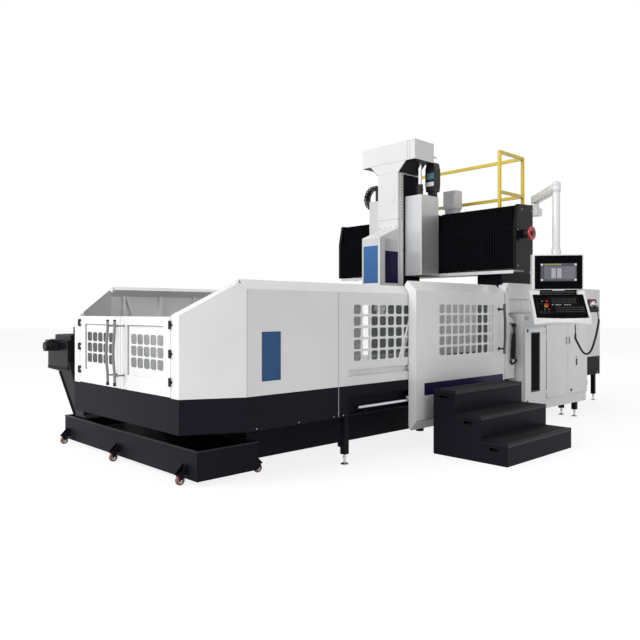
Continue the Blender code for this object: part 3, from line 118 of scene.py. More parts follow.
class Finish:
    """One material, its Principled shader and the nodes that feed it."""

    def __init__(self, name, colour, rough, metal=0.0, **sockets):
        self.material = bpy.data.materials.new(name)
        self.material.use_nodes = True
        self.nodes = self.material.node_tree.nodes
        self.links = self.material.node_tree.links
        self.shader = self.nodes["Principled BSDF"]
        self.set("Base Color", (*colour, 1.0))
        self.set("Roughness", rough)
        self.set("Metallic", metal)
        for key, value in sockets.items():
            self.set(key.replace("_", " "), value)

    def set(self, name, value):
        socket = self.shader.inputs[name]
        if isinstance(value, Sock):
            self.links.new(value.socket, socket)
        else:
            socket.default_value = value

    def node(self, kind, settings=None, inputs=None, output=0):
        made = self.nodes.new(kind)
        for key, value in (settings or {}).items():
            if key == "stops":
                ramp = made.color_ramp
                for index, (place, colour) in enumerate(value):
                    stop = ramp.elements[index] if index < 2 else ramp.elements.new(place)
                    stop.position, stop.color = place, colour
            else:
                setattr(made, key, value)
        for key, value in (inputs or {}).items():
            socket = made.inputs[key]
            if isinstance(value, Sock):
                self.links.new(value.socket, socket)
            else:
                socket.default_value = value
        return Sock(self, made.outputs[output])

    def place(self):
        """Object coordinates, which are metres in the shared frame."""
        return self.node("ShaderNodeTexCoord", output="Object")

    def flat(self, letter):
        """One axis of the piece's own UV map."""
        return self.node("ShaderNodeSeparateXYZ", inputs={0: self.node("ShaderNodeUVMap")}, output=letter)

    def axis(self, letter):
        return self.node("ShaderNodeSeparateXYZ", inputs={0: self.place()}, output=letter)

    def noise(self, scale, detail=3.0, rough=0.5, stretch=None):
        where = self.place()
        if stretch:
            where = self.node("ShaderNodeMapping", inputs={"Vector": where, "Scale": stretch})
        return self.node(
            "ShaderNodeTexNoise",
            inputs={"Vector": where, "Scale": scale, "Detail": detail, "Roughness": rough},
        )

    def mix(self, amount, first, second):
        """Colour between two colours or colour links."""
        pair = [(*value, 1.0) if isinstance(value, tuple) and len(value) == 3 else value
                for value in (first, second)]
        return self.node(
            "ShaderNodeMix", {"data_type": "RGBA"}, {0: amount, 6: pair[0], 7: pair[1]}, output=2,
        )

    def bump(self, height, strength, distance=0.001):
        self.set("Normal", self.node(
            "ShaderNodeBump", inputs={"Strength": strength, "Distance": distance, "Height": height},
        ))
        return self


# Meshes as numpy surfaces


def mesh_piece(name, points, faces, smooth=False):
    """An object at the origin from arrays of points and faces."""
    mesh = bpy.data.meshes.new(name)
    mesh.from_pydata(np.asarray(points, float).tolist(), [], [list(face) for face in faces])
    mesh.validate()
    if smooth:
        mesh.polygons.foreach_set("use_smooth", np.ones(len(mesh.polygons), bool))
    mesh.update()
    item = bpy.data.objects.new(name, mesh)
    bpy.context.scene.collection.objects.link(item)
    return item


def grid_faces(rows, columns, close_columns=True):
    """Quads between neighbouring rows of points; in rings the last column joins the first."""
    across = columns if close_columns else columns - 1
    i, j = np.meshgrid(np.arange(rows - 1), np.arange(across), indexing="ij")
    k = (j + 1) % columns
    a, b = i * columns + j, i * columns + k
    return np.stack([a, b, b + columns, a + columns], -1).reshape(-1, 4).tolist()


def rings(stack):
    """Points and faces of a solid from a stack of rings (n, m, 3), closed at both ends."""
    count, sides = stack.shape[:2]
    faces = grid_faces(count, sides)
    faces.append(list(range(sides))[::-1])
    faces.append([(count - 1) * sides + index for index in range(sides)])
    return stack.reshape(-1, 3), faces


def hoop(stack):
    """Points and faces of a pierced solid from a stack of rings, whose last ring joins the first."""
    count, sides = stack.shape[:2]
    faces = np.array(grid_faces(count + 1, sides)) % (count * sides)
    return stack.reshape(-1, 3), faces.tolist()


def joined(parts):
    """Several (points, faces) solids as one."""
    points, faces, start = [], [], 0
    for these, those in parts:
        points.append(np.asarray(these, float))
        faces += [[index + start for index in face] for face in those]
        start += len(these)
    return np.concatenate(points), faces


AXES = {"X": (1, 2, 0), "Y": (2, 0, 1), "Z": (0, 1, 2)}


def along(axis, plane, height):
    """Points with plane coordinates (n, 2) and heights put along an axis; the order keeps faces outward."""
    first, second, third = AXES[axis]
    out = np.zeros((*plane.shape[:-1], 3))
    out[..., first], out[..., second], out[..., third] = plane[..., 0], plane[..., 1], height
    return out


def turned(axis, centre, profile, sides=32):
    """Solid of revolution: each (radius, height) becomes a ring about the axis through centre."""
    profile = np.asarray(profile, float)
    angle = np.linspace(0, 2 * np.pi, sides, endpoint=False)
    circle = np.stack([np.cos(angle), np.sin(angle)], -1)
    plane = profile[:, None, :1] * circle[None]
    stack = along(axis, plane, profile[:, None, 1] * np.ones(sides))
    return rings(stack + np.asarray(centre, float))


def upright(x, y, profile, sides=32):
    """Solid of revolution about the upright axis through a place on the floor plan."""
    return turned("Z", (x, y, 0), profile, sides)


def prism(axis, outline, start, end, edge=0.0):
    """A flat outline carried along an axis, drawn in by the edge width at both ends."""
    outline = np.asarray(outline, float)
    area = np.sum(outline[:, 0] * np.roll(outline[:, 1], -1) - np.roll(outline[:, 0], -1) * outline[:, 1])
    if edge:
        before = outline - np.roll(outline, 1, 0)
        after = np.roll(outline, -1, 0) - outline
        before /= np.linalg.norm(before, axis=1)[:, None]
        after /= np.linalg.norm(after, axis=1)[:, None]
        inward = np.stack([-before[:, 1] - after[:, 1], before[:, 0] + after[:, 0]], -1)
        inward /= np.maximum((inward * np.stack([-after[:, 1], after[:, 0]], -1)).sum(1), 0.2)[:, None]
        small = outline + inward * edge * np.sign(area)
        layers = [(small, start), (outline, start + edge), (outline, end - edge), (small, end)]
    else:
        layers = [(outline, start), (outline, end)]
    stack = np.stack([along(axis, plane, height) for plane, height in layers])
    points, faces = rings(stack)
    return (points, faces) if area > 0 else (points, [face[::-1] for face in faces])


def rounded(left, low, right, high, radius, steps=3):
    """Outline of a rectangle whose corners are quarter circles."""
    turn = np.linspace(0, np.pi / 2, steps + 1)
    corners = [
        (right - radius, high - radius, 0), (left + radius, high - radius, 1),
        (left + radius, low + radius, 2), (right - radius, low + radius, 3),
    ]
    return np.concatenate([
        np.stack([u + radius * np.cos(turn + quarter * np.pi / 2),
                  v + radius * np.sin(turn + quarter * np.pi / 2)], -1)
        for u, v, quarter in corners
    ])


def slab(low, high, radius=0.004, axis="Z"):
    """A box with rounded corners and drawn-in ends."""
    first, second, third = AXES[axis]
    outline = rounded(low[first], low[second], high[first], high[second], radius)
    return prism(axis, outline, low[third], high[third], radius * 0.6)


def tube(points, radius, sides=12):
    """A round bar swept along a path of points; each ring stands across the mean of its two neighbours."""
    points = np.asarray(points, float)
    heading = np.gradient(points, axis=0)
    heading /= np.linalg.norm(heading, axis=1)[:, None]
    up = np.array([0.0, 0.0, 1.0]) if abs(heading[0][2]) < 0.9 else np.array([1.0, 0.0, 0.0])
    side = np.cross(heading, up)
    for index in np.flatnonzero(np.linalg.norm(side, axis=1) < 0.2):
        side[index] = side[index - 1]
    side /= np.linalg.norm(side, axis=1)[:, None]
    other = np.cross(heading, side)
    angle = np.linspace(0, 2 * np.pi, sides, endpoint=False)
    stack = points[:, None] + radius * (
        np.cos(angle)[None, :, None] * side[:, None] - np.sin(angle)[None, :, None] * other[:, None]
    )
    return rings(stack)


def smooth_path(points, steps=8):
    """Catmull-Rom curve through the points."""
    p = np.asarray(points, float)
    p = np.concatenate([[2 * p[0] - p[1]], p, [2 * p[-1] - p[-2]]])
    t = np.linspace(0, 1, steps, endpoint=False)[None, :, None]
    a, b, c, d = p[:-3, None], p[1:-2, None], p[2:-1, None], p[3:, None]
    square, cube = 2 * a - 5 * b + 4 * c - d, 3 * b - a - 3 * c + d
    curve = 0.5 * (2 * b + (c - a) * t + square * t**2 + cube * t**3)
    return np.concatenate([curve.reshape(-1, 3), p[-2:-1]])


# Gap that corners are merged over, the turn below which faces count as flat, and the turns that get a bevel
MERGE_GAP = 0.0001
FLAT_ANGLE, SHELL_ANGLE, PIECE_ANGLE = math.radians(1), math.radians(30), math.radians(40)


def place_on(piece, body, finish, smooth=False):
    """Gives a piece its finish and slot and lets it ride on a body."""
    piece.data.materials.clear()
    piece.data.materials.append(finish)
    if smooth:
        piece.data.polygons.foreach_set("use_smooth", np.ones(len(piece.data.polygons), bool))
    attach(piece, body)
    return piece


def add(name, parts, body, finish, smooth=False, bevel=0.0):
    """One piece from a list of (points, faces) solids."""
    piece = mesh_piece(name, *joined(parts))
    if bevel:
        edge = piece.modifiers.new("edge", "BEVEL")
        edge.width, edge.segments = bevel, 2
        edge.limit_method, edge.angle_limit = "ANGLE", PIECE_ANGLE
    return place_on(piece, body, finish, smooth)


def softened(node, finish, width):
    """A merged copy of a CAD node with rounded sheet metal edges, shown in its place."""
    source = frame["nodes"][node]
    mesh = source.data.copy()
    shape = bmesh.new()
    shape.from_mesh(mesh)
    bmesh.ops.remove_doubles(shape, verts=shape.verts, dist=MERGE_GAP)
    bmesh.ops.dissolve_limit(
        shape, angle_limit=FLAT_ANGLE, verts=shape.verts, edges=shape.edges, use_dissolve_boundaries=False,
    )
    shape.to_mesh(mesh)
    shape.free()
    piece = bpy.data.objects.new(node + "_shell", mesh)
    bpy.context.scene.collection.objects.link(piece)
    if width:
        edge = piece.modifiers.new("edge", "BEVEL")
        edge.width, edge.segments = width, 2
        edge.limit_method, edge.angle_limit = "ANGLE", SHELL_ANGLE
        edge.use_clamp_overlap = True
    place_on(piece, frame["nodes"][node]["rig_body"], finish)
    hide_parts(node)
    return piece


# Values that a user can change


class MACHINE_PG_colours(bpy.types.PropertyGroup):
    """Colours of the painted surfaces"""

    white: bpy.props.FloatVectorProperty(
        name="White paint", description="Powder coat of the guarding", subtype="COLOR", size=3,
        default=(0.74, 0.74, 0.735), min=0, max=1,
    )
    black: bpy.props.FloatVectorProperty(
        name="Black paint", description="Skirts, beam and stairs", subtype="COLOR", size=3,
        default=(0.0085, 0.0080, 0.0135), min=0, max=1,
    )
    yellow: bpy.props.FloatVectorProperty(
        name="Safety yellow", description="Platform railing", subtype="COLOR", size=3,
        default=(0.72, 0.54, 0.03), min=0, max=1,
    )
    blue: bpy.props.FloatVectorProperty(
        name="Blue panels", description="Plain blue fields on the head and the side wall",
        subtype="COLOR", size=3,
        default=(0.024, 0.100, 0.265), min=0, max=1,
    )
    violet: bpy.props.FloatVectorProperty(
        name="Dark violet panels", description="Dark fields on the head and the sliding door",
        subtype="COLOR", size=3,
        default=(0.014, 0.009, 0.052), min=0, max=1,
    )


class MACHINE_PG_sizes(bpy.types.PropertyGroup):
    """Sizes of the fine pieces"""

    pleats: bpy.props.IntProperty(
        name="Pleats", description="Pleats of each bellows", default=30, min=8, max=60,
    )
    pleat_depth: bpy.props.FloatProperty(
        name="Pleat depth", description="Depth of a bellows pleat", default=0.030, min=0.01,
        max=0.04, unit="LENGTH",
    )
    chain_links: bpy.props.IntProperty(
        name="Chain links", description="Links round the bend of the cable chain",
        default=13, min=7, max=25,
    )
    screw: bpy.props.FloatProperty(
        name="Screw head", description="Radius of a cover screw", default=0.007, min=0.003,
        max=0.012, unit="LENGTH",
    )
    edge: bpy.props.FloatProperty(
        name="Sheet edge", description="Rounding of folded sheet metal edges", default=0.003,
        min=0, max=0.008,
        unit="LENGTH",
    )


def colours():
    return bpy.context.scene.machine_colours


def sizes():
    return bpy.context.scene.machine_sizes


# Finishes, each made once

MADE = {}


def once(build, *values, **more):
    """A function that makes a finish on its first call and hands out the same material afterwards."""

    def material():
        if material not in MADE:
            MADE[material] = build(*values, **more).material
        return MADE[material]

    return material


def powder_coat(name, colour, rough, coat, grain=340.0, gloss=0.5):
    """Sprayed paint: a broad drift towards a darker copy of the colour that paints the light and shade of
    soft reflections, darker and rougher patches towards the bottom, orange peel in gloss and bump.
    """
    paint = Finish(name, colour, rough, Coat_Weight=coat, Coat_Roughness=0.12, Specular_IOR_Level=gloss)
    # The drift between the colour and its darker copy is painted light and shade: soft reflections of the
    # lamps.
    drift = paint.noise(1.1, 2.0)
    peel = paint.noise(grain, 2.0)
    # Darker and rougher towards the bottom, in patches.
    low_patches = (1 - paint.axis("Z").over(0.55, 0.9)) * paint.noise(14.0, 4.0) * 0.35
    shade = tuple(value * 0.86 for value in colour)
    low_tone = tuple(value * 0.86 + 0.004 for value in colour)
    tone = paint.mix(drift.over(0.5, 0.6), colour, shade)
    paint.set("Base Color", paint.mix(low_patches, tone, low_tone))
    paint.set("Roughness", rough + (drift - 0.5) * 0.10 + (peel - 0.5) * 0.08 + low_patches * 0.25)
    return paint.bump(peel, 0.06, 0.0006)


def user_paint(name, colour, *values, **more):
    """A powder coat in a colour that a user can change."""
    return powder_coat(name, tuple(getattr(colours(), colour)), *values, **more)


white_paint = once(user_paint, "white_powder_coat", "white", 0.34, 0.25)
black_paint = once(user_paint, "black_powder_coat", "black", 0.42, 0.0, gloss=0.06)
yellow_paint = once(user_paint, "safety_yellow", "yellow", 0.35, 0.20)
violet_paint = once(user_paint, "violet_panel", "violet", 0.28, 0.0, gloss=0.12)
gloss_black = once(powder_coat, "gloss_black_paint", (0.006, 0.006, 0.007), 0.24, 0.0, 120.0, 0.10)
dark_grey_paint = once(powder_coat, "dark_grey_paint", (0.030, 0.030, 0.034), 0.45, 0.0, gloss=0.15)
light_grey_paint = once(powder_coat, "light_grey_paint", (0.33, 0.34, 0.35), 0.42, 0.10)
# A lighter copy of the white paint for the inner wall and the window brace: painted light on surfaces that
# lie in shade.
lit_white_paint = once(powder_coat, "bright_powder_coat", (0.86, 0.85, 0.84), 0.42, 0.10)


@once
def blue_paint():
    """Blue field with painted light: a lighter copy of the blue towards its top and a darker one low down,
    mixed by height.
    """
    colour = tuple(colours().blue)
    paint = user_paint("blue_panel", "blue", 0.32, 0.0, gloss=0.25)
    # Lighter and darker copies of the blue, mixed by height: painted light from above.
    light = tuple(min(value * 1.3 + 0.01, 1.0) for value in colour)
    shaded_blue = tuple(value * 0.7 for value in colour)
    rise = (paint.axis("Z") - 1.3) / 1.2
    paint.set("Base Color", paint.mix(rise + (paint.noise(6.0) - 0.5) * 0.1, shaded_blue, light))
    return paint


def moulded(name, base, rough, grain, drift, tones, gloss, relief, **sockets):
    """Plastic or rubber: a slow drift between two tones and a fine grain in the gloss and the bump."""
    finish = Finish(name, base, rough, **sockets)
    fine = finish.noise(*grain)
    finish.set("Base Color", finish.mix(finish.noise(drift), *tones))
    finish.set("Roughness", gloss[0] + fine * gloss[1])
    return finish.bump(fine, *relief)


red_plastic = once(
    moulded, "red_plastic", (0.42, 0.012, 0.02), 0.32, (160.0,), 9.0,
    ((0.46, 0.014, 0.022), (0.33, 0.010, 0.020)), (0.28, 0.12), (0.04, 0.0005), Coat_Weight=0.2,
)
black_plastic = once(
    moulded, "black_plastic", (0.010, 0.010, 0.011), 0.42, (600.0, 2.0), 5.0,
    ((0.010, 0.010, 0.011), (0.017, 0.017, 0.018)), (0.36, 0.16), (0.12, 0.0004), Specular_IOR_Level=0.3,
)
hose_rubber = once(
    moulded, "hose_rubber", (0.012, 0.012, 0.013), 0.62, (300.0,), 7.0,
    ((0.009, 0.009, 0.010), (0.018, 0.018, 0.019)), (0.55, 0.15), (0.1, 0.0005), Specular_IOR_Level=0.25,
)
panel_film = once(
    moulded, "panel_film", (0.003, 0.003, 0.004), 0.30, (500.0,), 8.0,
    ((0.002, 0.002, 0.003), (0.005, 0.005, 0.006)), (0.24, 0.10), (0.05, 0.0004), Specular_IOR_Level=0.01,
)
wheel_tyre = once(
    moulded, "wheel_tyre", (0.22, 0.09, 0.06), 0.5, (200.0,), 25.0,
    ((0.26, 0.11, 0.075), (0.16, 0.07, 0.05)), (0.45, 0.15), (0.1, 0.0006),
)


@once
def cable_rubber():
    """Ribbed rubber: rings across the cord from its own length coordinate."""
    rubber = Finish("cable_rubber", (0.010, 0.010, 0.011), 0.6, Specular_IOR_Level=0.25)
    length = rubber.flat("X")
    ring = (length * 380.0).math("SINE") * 0.5 + 0.5
    rubber.set("Base Color", rubber.mix(ring, (0.006, 0.006, 0.007), (0.020, 0.020, 0.022)))
    rubber.set("Roughness", 0.5 + ring * 0.2)
    return rubber.bump(ring, 0.7, 0.004)


@once
def bellows_cloth():
    """Coated fabric: a fine weave of two crossed waves on the cloth's own map, and a broad sheen drift."""
    cloth = Finish("bellows_cloth", (0.003, 0.003, 0.004), 0.62, Specular_IOR_Level=0.03)
    across, upright = ((cloth.flat(letter) * 2600.0).math("SINE") for letter in "XY")
    weave = across * upright * 0.5 + 0.5
    drift = cloth.noise(4.0)
    cloth.set("Base Color", cloth.mix(drift, (0.0025, 0.0025, 0.003), (0.006, 0.006, 0.008)))
    cloth.set("Roughness", 0.56 + weave * 0.12)
    return cloth.bump(weave, 0.15, 0.0005)


def brushed(name, colour, rough, stretch, dark=0.82, metal_share=1.0):
    """Metal with fine scratches drawn out along one direction."""
    metal = Finish(name, colour, rough, metal_share)
    lines = metal.noise(60.0, 4.0, 0.6, stretch)
    patch = metal.noise(3.0, 2.0)
    metal.set("Base Color",
              metal.mix(lines * 0.7 + patch * 0.3, colour, tuple(value * dark for value in colour)))
    metal.set("Roughness", rough + (lines - 0.5) * 0.16 + (patch - 0.5) * 0.08)
    return metal.bump(lines, 0.08, 0.0004)


ground_steel = once(brushed, "ground_steel", (0.58, 0.58, 0.59), 0.26, (12.0, 0.6, 12.0))
turned_steel = once(brushed, "turned_steel", (0.60, 0.60, 0.61), 0.18, (1.0, 1.0, 30.0))
satin_aluminium = once(brushed, "satin_aluminium", (0.62, 0.63, 0.64), 0.38, (20.0, 20.0, 0.5), 0.90, 0.65)
satin_steel = once(brushed, "satin_steel", (0.27, 0.27, 0.27), 0.32, (8.0, 8.0, 30.0))
dark_steel = once(brushed, "dark_steel", (0.10, 0.10, 0.10), 0.26, (8.0, 8.0, 30.0))


@once
def clear_glass():
    """Thin safety glass with a few wipe marks; light passes mostly straight through."""
    glass = Finish("safety_glass", (0.60, 0.68, 0.68), 0.04, Alpha=0.07)
    wipe = glass.noise(5.0, 3.0, 0.6, (1.0, 1.0, 3.0))
    glass.set("Base Color", glass.mix(wipe, (0.60, 0.69, 0.70), (0.66, 0.73, 0.73)))
    glass.set("Roughness", 0.03 + wipe * 0.05)
    return glass


@once
def grey_glass():
    """Glass of the left front door, darker than the right: painted shade of the dim inside seen through it,
    with the same wipe marks.
    """
    glass = Finish("grey_glass", (0.05, 0.055, 0.05), 0.05, Alpha=0.55, Specular_IOR_Level=0.3)
    wipe = glass.noise(4.0, 3.0, 0.6)
    glass.set("Base Color", glass.mix(wipe, (0.03, 0.032, 0.030), (0.10, 0.105, 0.10)))
    glass.set("Roughness", 0.04 + wipe * 0.06)
    return glass


@once
def screen_glass():
    """A generic machine display: header line, drawing field with frames, side column, footer keys."""
    screen = Finish("screen_glass", (0.02, 0.02, 0.025), 0.12)
    u, v = screen.flat("X"), screen.flat("Y")
    header = u.between(0.10, 0.58, 0.01) * v.between(0.90, 0.975, 0.01)
    field = u.between(0.10, 0.97, 0.01) * v.between(0.10, 0.84, 0.01)
    frames = sum_of([u.between(left, left + 0.12, 0.008) * v.between(0.18, 0.72, 0.01)
                     for left in (0.30, 0.46)])
    column = u.between(0.66, 0.95, 0.01) * v.between(0.14, 0.80, 0.01)
    rows = ((v * 62.0).math("SINE")).over(0.2, 0.4) * column
    tone = screen.mix(field, (0.05, 0.05, 0.07), (0.13, 0.13, 0.16))
    tone = screen.mix(frames, tone, (0.40, 0.40, 0.46))
    tone = screen.mix(rows * 0.40, tone, (0.26, 0.26, 0.30))
    tone = screen.mix(header, tone, (0.26, 0.27, 0.08))
    edge = sum_of([u.between(a, a + 0.055, 0.006) * v.between(b, b + 0.10, 0.01)
                   for a in (0.005, 0.94) for b in (0.02, 0.88)])
    tone = screen.mix(edge, tone, (0.80, 0.80, 0.82))
    screen.set("Base Color", (0.01, 0.01, 0.012, 1.0))
    screen.set("Emission Color", tone)
    screen.set("Emission Strength", 0.9)
    screen.set("Roughness", 0.10 + screen.noise(40.0) * 0.05)
    return screen


def sum_of(masks):
    """The masks added up; they don't overlap."""
    total = masks[0]
    for mask in masks[1:]:
        total = total + mask
    return total


@once
def anti_slip():
    """Stair mat: rows of small raised studs from two crossed waves."""
    mat = Finish("anti_slip_mat", (0.010, 0.010, 0.012), 0.7, Specular_IOR_Level=0.08)
    studs = ((mat.axis("X") * 320.0).math("SINE") * (mat.axis("Y") * 320.0).math("SINE")).over(0.3, 0.4)
    mat.set("Base Color", mat.mix(studs, (0.007, 0.007, 0.008), (0.016, 0.016, 0.019)))
    mat.set("Roughness", 0.72 - studs * 0.18)
    return mat.bump(studs, 0.8, 0.002)


def key_plastic(name, colour):
    """Small moulded key: a faint grain in tone, gloss and bump."""
    if name not in MADE:
        plastic = Finish(name, colour, 0.4)
        grain = plastic.noise(700.0)
        plastic.set("Base Color", plastic.mix(grain * 0.4, colour, tuple(value * 0.8 for value in colour)))
        plastic.set("Roughness", 0.34 + grain * 0.15)
        MADE[name] = plastic.bump(grain, 0.05, 0.0003).material
    return MADE[name]


# Shells of the CAD nodes whose own form shows: finish, slot, edge width (None: a user's) and nodes


SHELLS = (
    (white_paint, "white", None,
     "corner_panel_left corner_panel_right side_wall_right end_trim_right rear_walls"),
    (white_paint, "white", None, "column_cover small_cabinet main_cabinet"),
    (white_paint, "white", 0.002,
     "window_wall_right front_door_left front_door_right side_door small_cabinet_door"),
    (white_paint, "white", 0.003,
     "terminal_box main_cabinet_door_left main_cabinet_door_right pendant_boom"),
    (white_paint, "white", 0.004, "pendant_base ram ram_hood head_cover pendant_keyboard pendant_monitor"),
    (black_paint, "black", None, "front_skirt side_skirt_left side_skirt_right rear_skirt"),
    (black_paint, "black", 0.004, "stairs"),
    (black_paint, "black", 0.006, "bed"),
    (black_paint, "black", 0.008, "column_left column_right"),
    (gloss_black, "black", 0.004, "beam_end_cap_left beam_end_cap_right chip_conveyor saddle"),
    (gloss_black, "black", 0.005, "beam"),
    (black_plastic, "black", 0.003, "handwheel"),
    (black_plastic, "black", 0.004, "lubrication_unit"),
    (satin_aluminium, "silver", 0.001, "rail_cover"),
    (satin_aluminium, "silver", 0.002, "side_cover_left side_cover_right"),
    (ground_steel, "steel", 0.001, "front_way_cover rear_way_cover"),
    (ground_steel, "steel", 0.002, "work_table"),
    (yellow_paint, "yellow", 0.005, "platform_railing"),
)


def dress(node, finish):
    """A CAD node that stays as it is takes a finish."""
    item = frame["nodes"][node]
    for slot in item.material_slots:
        slot.material = finish


class MACHINE_OT_shells(bpy.types.Operator):
    """Rounded and painted shells of the sheet metal, the castings and the covers"""

    bl_idname = "machine.shells"
    bl_label = "Shells"

    def execute(self, context):
        for finish, slot, width, nodes in SHELLS:
            for node in nodes.split():
                softened(node, finish(), sizes().edge if width is None else width)
        for node in ("window_glass_right", "side_door_glass", "front_door_glass_right"):
            dress(node, clear_glass())
        # The left door's glass is a darker copy: painted shade.
        dress("front_door_glass_left", grey_glass())
        return {"FINISHED"}


# Small pieces that repeat


def disc(axis, sign, centre, radius, height, sides=12):
    """Screw or button head: a disc on a face, with its rim drawn in, standing out along a signed axis."""
    profile = [(radius, -0.001), (radius, height * 0.6), (radius * 0.80, height)]
    if sign < 0:
        profile = [(r, -h) for r, h in profile[::-1]]
    return turned(axis, centre, profile, sides)


def heads(axis, sign, face, first, second, radius=0.006, height=0.003):
    """Screw heads on a face, at every crossing of the places along its first and its second axis."""
    at = "XYZ".index(axis)
    places = [(u, v) for u in first for v in second]
    return [disc(axis, sign, (*place[:at], face, *place[at:]), radius, height) for place in places]


def bolt(axis, sign, centre, radius=0.009, height=0.006):
    """Hexagon head on a washer."""
    low = disc(axis, sign, centre, radius * 1.35, height * 0.3, 16)
    return joined([low, disc(axis, sign, centre, radius, height, 6)])


def plate(axis, sign, face, u0, v0, u1, v1, thick=0.002, radius=0.003):
    """A thin plate on a face; u and v run along the other two axes in cyclic order."""
    start, end = sorted((face - sign * 0.001, face + sign * thick))
    radius = min(radius, (u1 - u0) * 0.45, (v1 - v0) * 0.45)
    return prism(axis, rounded(u0, v0, u1, v1, radius), start, end, min(thick * 0.4, 0.001))


def side_plate(y0, z0, y1, z1, face, thick=0.002, radius=0.003):
    """A plate on a face that looks along +X."""
    return plate("X", 1, face, y0, z0, y1, z1, thick, radius)


def front_plate(x0, z0, x1, z1, face, thick=0.002, radius=0.003):
    """A plate on a face that looks along -Y; the outline's first axis is Z."""
    return plate("Y", -1, face, z0, x0, z1, x1, thick, radius)


def turned_about_z(parts, centre, degrees):
    """The parts turned about the origin's upright axis and then moved to centre."""
    turn = math.radians(degrees)
    matrix = np.array([[math.cos(turn), -math.sin(turn), 0],
                       [math.sin(turn), math.cos(turn), 0], [0, 0, 1]])
    return [(np.asarray(points) @ matrix.T + np.array([*centre, 0.0]), faces) for points, faces in parts]


def levelling_foot(x, y):
    """Levelling screw with its lock nut and pad."""
    screw = upright(x, y, [(0.0125, 0.009), (0.0125, 0.115)], 16)
    nut = upright(x, y, [(0.019, 0.069), (0.021, 0.072), (0.021, 0.086), (0.019, 0.089)], 6)
    pad = upright(x, y, [(0.041, 0.0), (0.042, 0.008), (0.034, 0.014), (0.016, 0.022)], 24)
    return [screw, nut, pad]


# Faces that the fine pieces lie on, in metres along X or Y

FRONT_FACE = -5.51
WALL = 1.366
DOOR_FACE = 1.486
TRIM_FACE = 1.466
COVER_FACE = 1.400
CABINET_FACE = 1.580
LEAF_FACE = 1.606
REAR_FACE = 3.55
REAR_SIDE = 1.13
SKIRT_ROWS = (0.545, 0.80)

# Front doors

HINGE_X, HINGE_Y = 0.9555, -5.522
HINGE_HEIGHTS = (0.974, 1.227, 1.487)
GRIP_X, GRIP_REACH = 0.075, 0.10


def hinge_part(side, inward, spans):
    """Knuckles on the hinge line and the leaf that they carry, drawn in where two knuckles meet."""
    parts = []
    for height in HINGE_HEIGHTS:
        for low, high in spans:
            profile = [(0.0105, height + low), (0.0127, height + low + 0.0015),
                       (0.0127, height + high - 0.0015),
                       (0.0105, height + high)]
            parts.append(upright(side * HINGE_X, HINGE_Y, profile, 18))
        near, far = (HINGE_X - 0.0135, HINGE_X - 0.027) if inward else (HINGE_X + 0.0135, HINGE_X + 0.027)
        x0, x1 = sorted((side * near, side * far))
        parts.append(front_plate(x0, height - 0.0375, x1, height + 0.0375, FRONT_FACE, 0.0095, 0.002))
        for z in (height - 0.024, height + 0.024):
            parts.append(disc("Y", -1, ((x0 + x1) / 2, FRONT_FACE - 0.0095, z), 0.0045, 0.002))
    return parts


def without_grip(name):
    """Takes the CAD's handle off a leaf's shell and closes the holes of its two posts."""
    mesh = bpy.data.objects[name].data
    shape = bmesh.new()
    shape.from_mesh(mesh)
    ahead = [corner for corner in shape.verts if corner.co.y < FRONT_FACE - 0.03]
    bmesh.ops.delete(shape, geom=ahead, context="VERTS")
    rims = [edge for edge in shape.edges if edge.is_boundary]
    bmesh.ops.holes_fill(shape, edges=rims, sides=0)
    shape.to_mesh(mesh)
    shape.free()


class MACHINE_OT_front_doors(bpy.types.Operator):
    """Butt hinges and bow handles of the front double door, and grey strips that paint the shade of the
    panel recesses
    """

    bl_idname = "machine.front_doors"
    bl_label = "Front doors"

    def execute(self, context):
        third = 0.025
        for side, word in ((-1, "left"), (1, "right")):
            body = "front_door_" + word
            without_grip(body + "_shell")
            outer = [(-1.5 * third, -0.5 * third - 0.0003), (0.5 * third + 0.0003, 1.5 * third)]
            add("hinge_posts_" + word, hinge_part(side, False, outer), "machine", black_plastic())
            add("hinge_leaves_" + word, hinge_part(side, True, [(-0.5 * third, 0.5 * third)]), body,
                black_plastic())
            bow = [(0.88, 0.0), (0.95, 0.0), (1.02, -0.004), (1.10, -0.011), (1.20, -0.015), (1.30, -0.011),
                   (1.38, -0.004), (1.45, 0.0), (1.52, 0.0)]
            path = smooth_path([(side * GRIP_X, FRONT_FACE - GRIP_REACH + bend, z) for z, bend in bow], 5)
            add("front_grip_" + word, [tube(path, 0.0135, 20)], body, satin_steel(), True, 0.002)
            ends = [
                upright(side * GRIP_X, FRONT_FACE - GRIP_REACH, profile, 20)
                for profile in (
                    [(0.012, 0.873), (0.0150, 0.877), (0.0150, 0.905), (0.0140, 0.909)],
                    [(0.0140, 1.512), (0.0150, 1.514), (0.0150, 1.523), (0.012, 1.527)],
                )
            ]
            post = [(0.0085, FRONT_FACE - 0.099), (0.0085, FRONT_FACE - 0.004),
                    (0.0135, FRONT_FACE - 0.003), (0.0135, FRONT_FACE + 0.001)]
            posts = [turned("Y", (side * GRIP_X, 0, z), post, 20) for z in (0.975, 1.465)]
            add("front_grip_ends_" + word, ends, body, black_plastic(), False)
            add("front_grip_posts_" + word, posts, body, satin_steel(), False)
            x0, x1 = sorted((side * 0.138, side * 0.829))
            floor = FRONT_FACE + 0.018
            # Grey strips on the recess floor along the top and both sides: painted shade of the recess
            # step.
            recess_shade = [front_plate(x0, 1.4685, x1, 1.4745, floor, 0.003, 0.001),
                     front_plate(x0, 0.986, x0 + 0.006, 1.468, floor, 0.003, 0.001),
                     front_plate(x1 - 0.006, 0.986, x1, 1.468, floor, 0.003, 0.001)]
            add("front_door_beads_" + word, recess_shade, body,
                key_plastic("seal_grey", (0.20, 0.19, 0.18)))
        return {"FINISHED"}


# Side walls, skirts and the sliding door


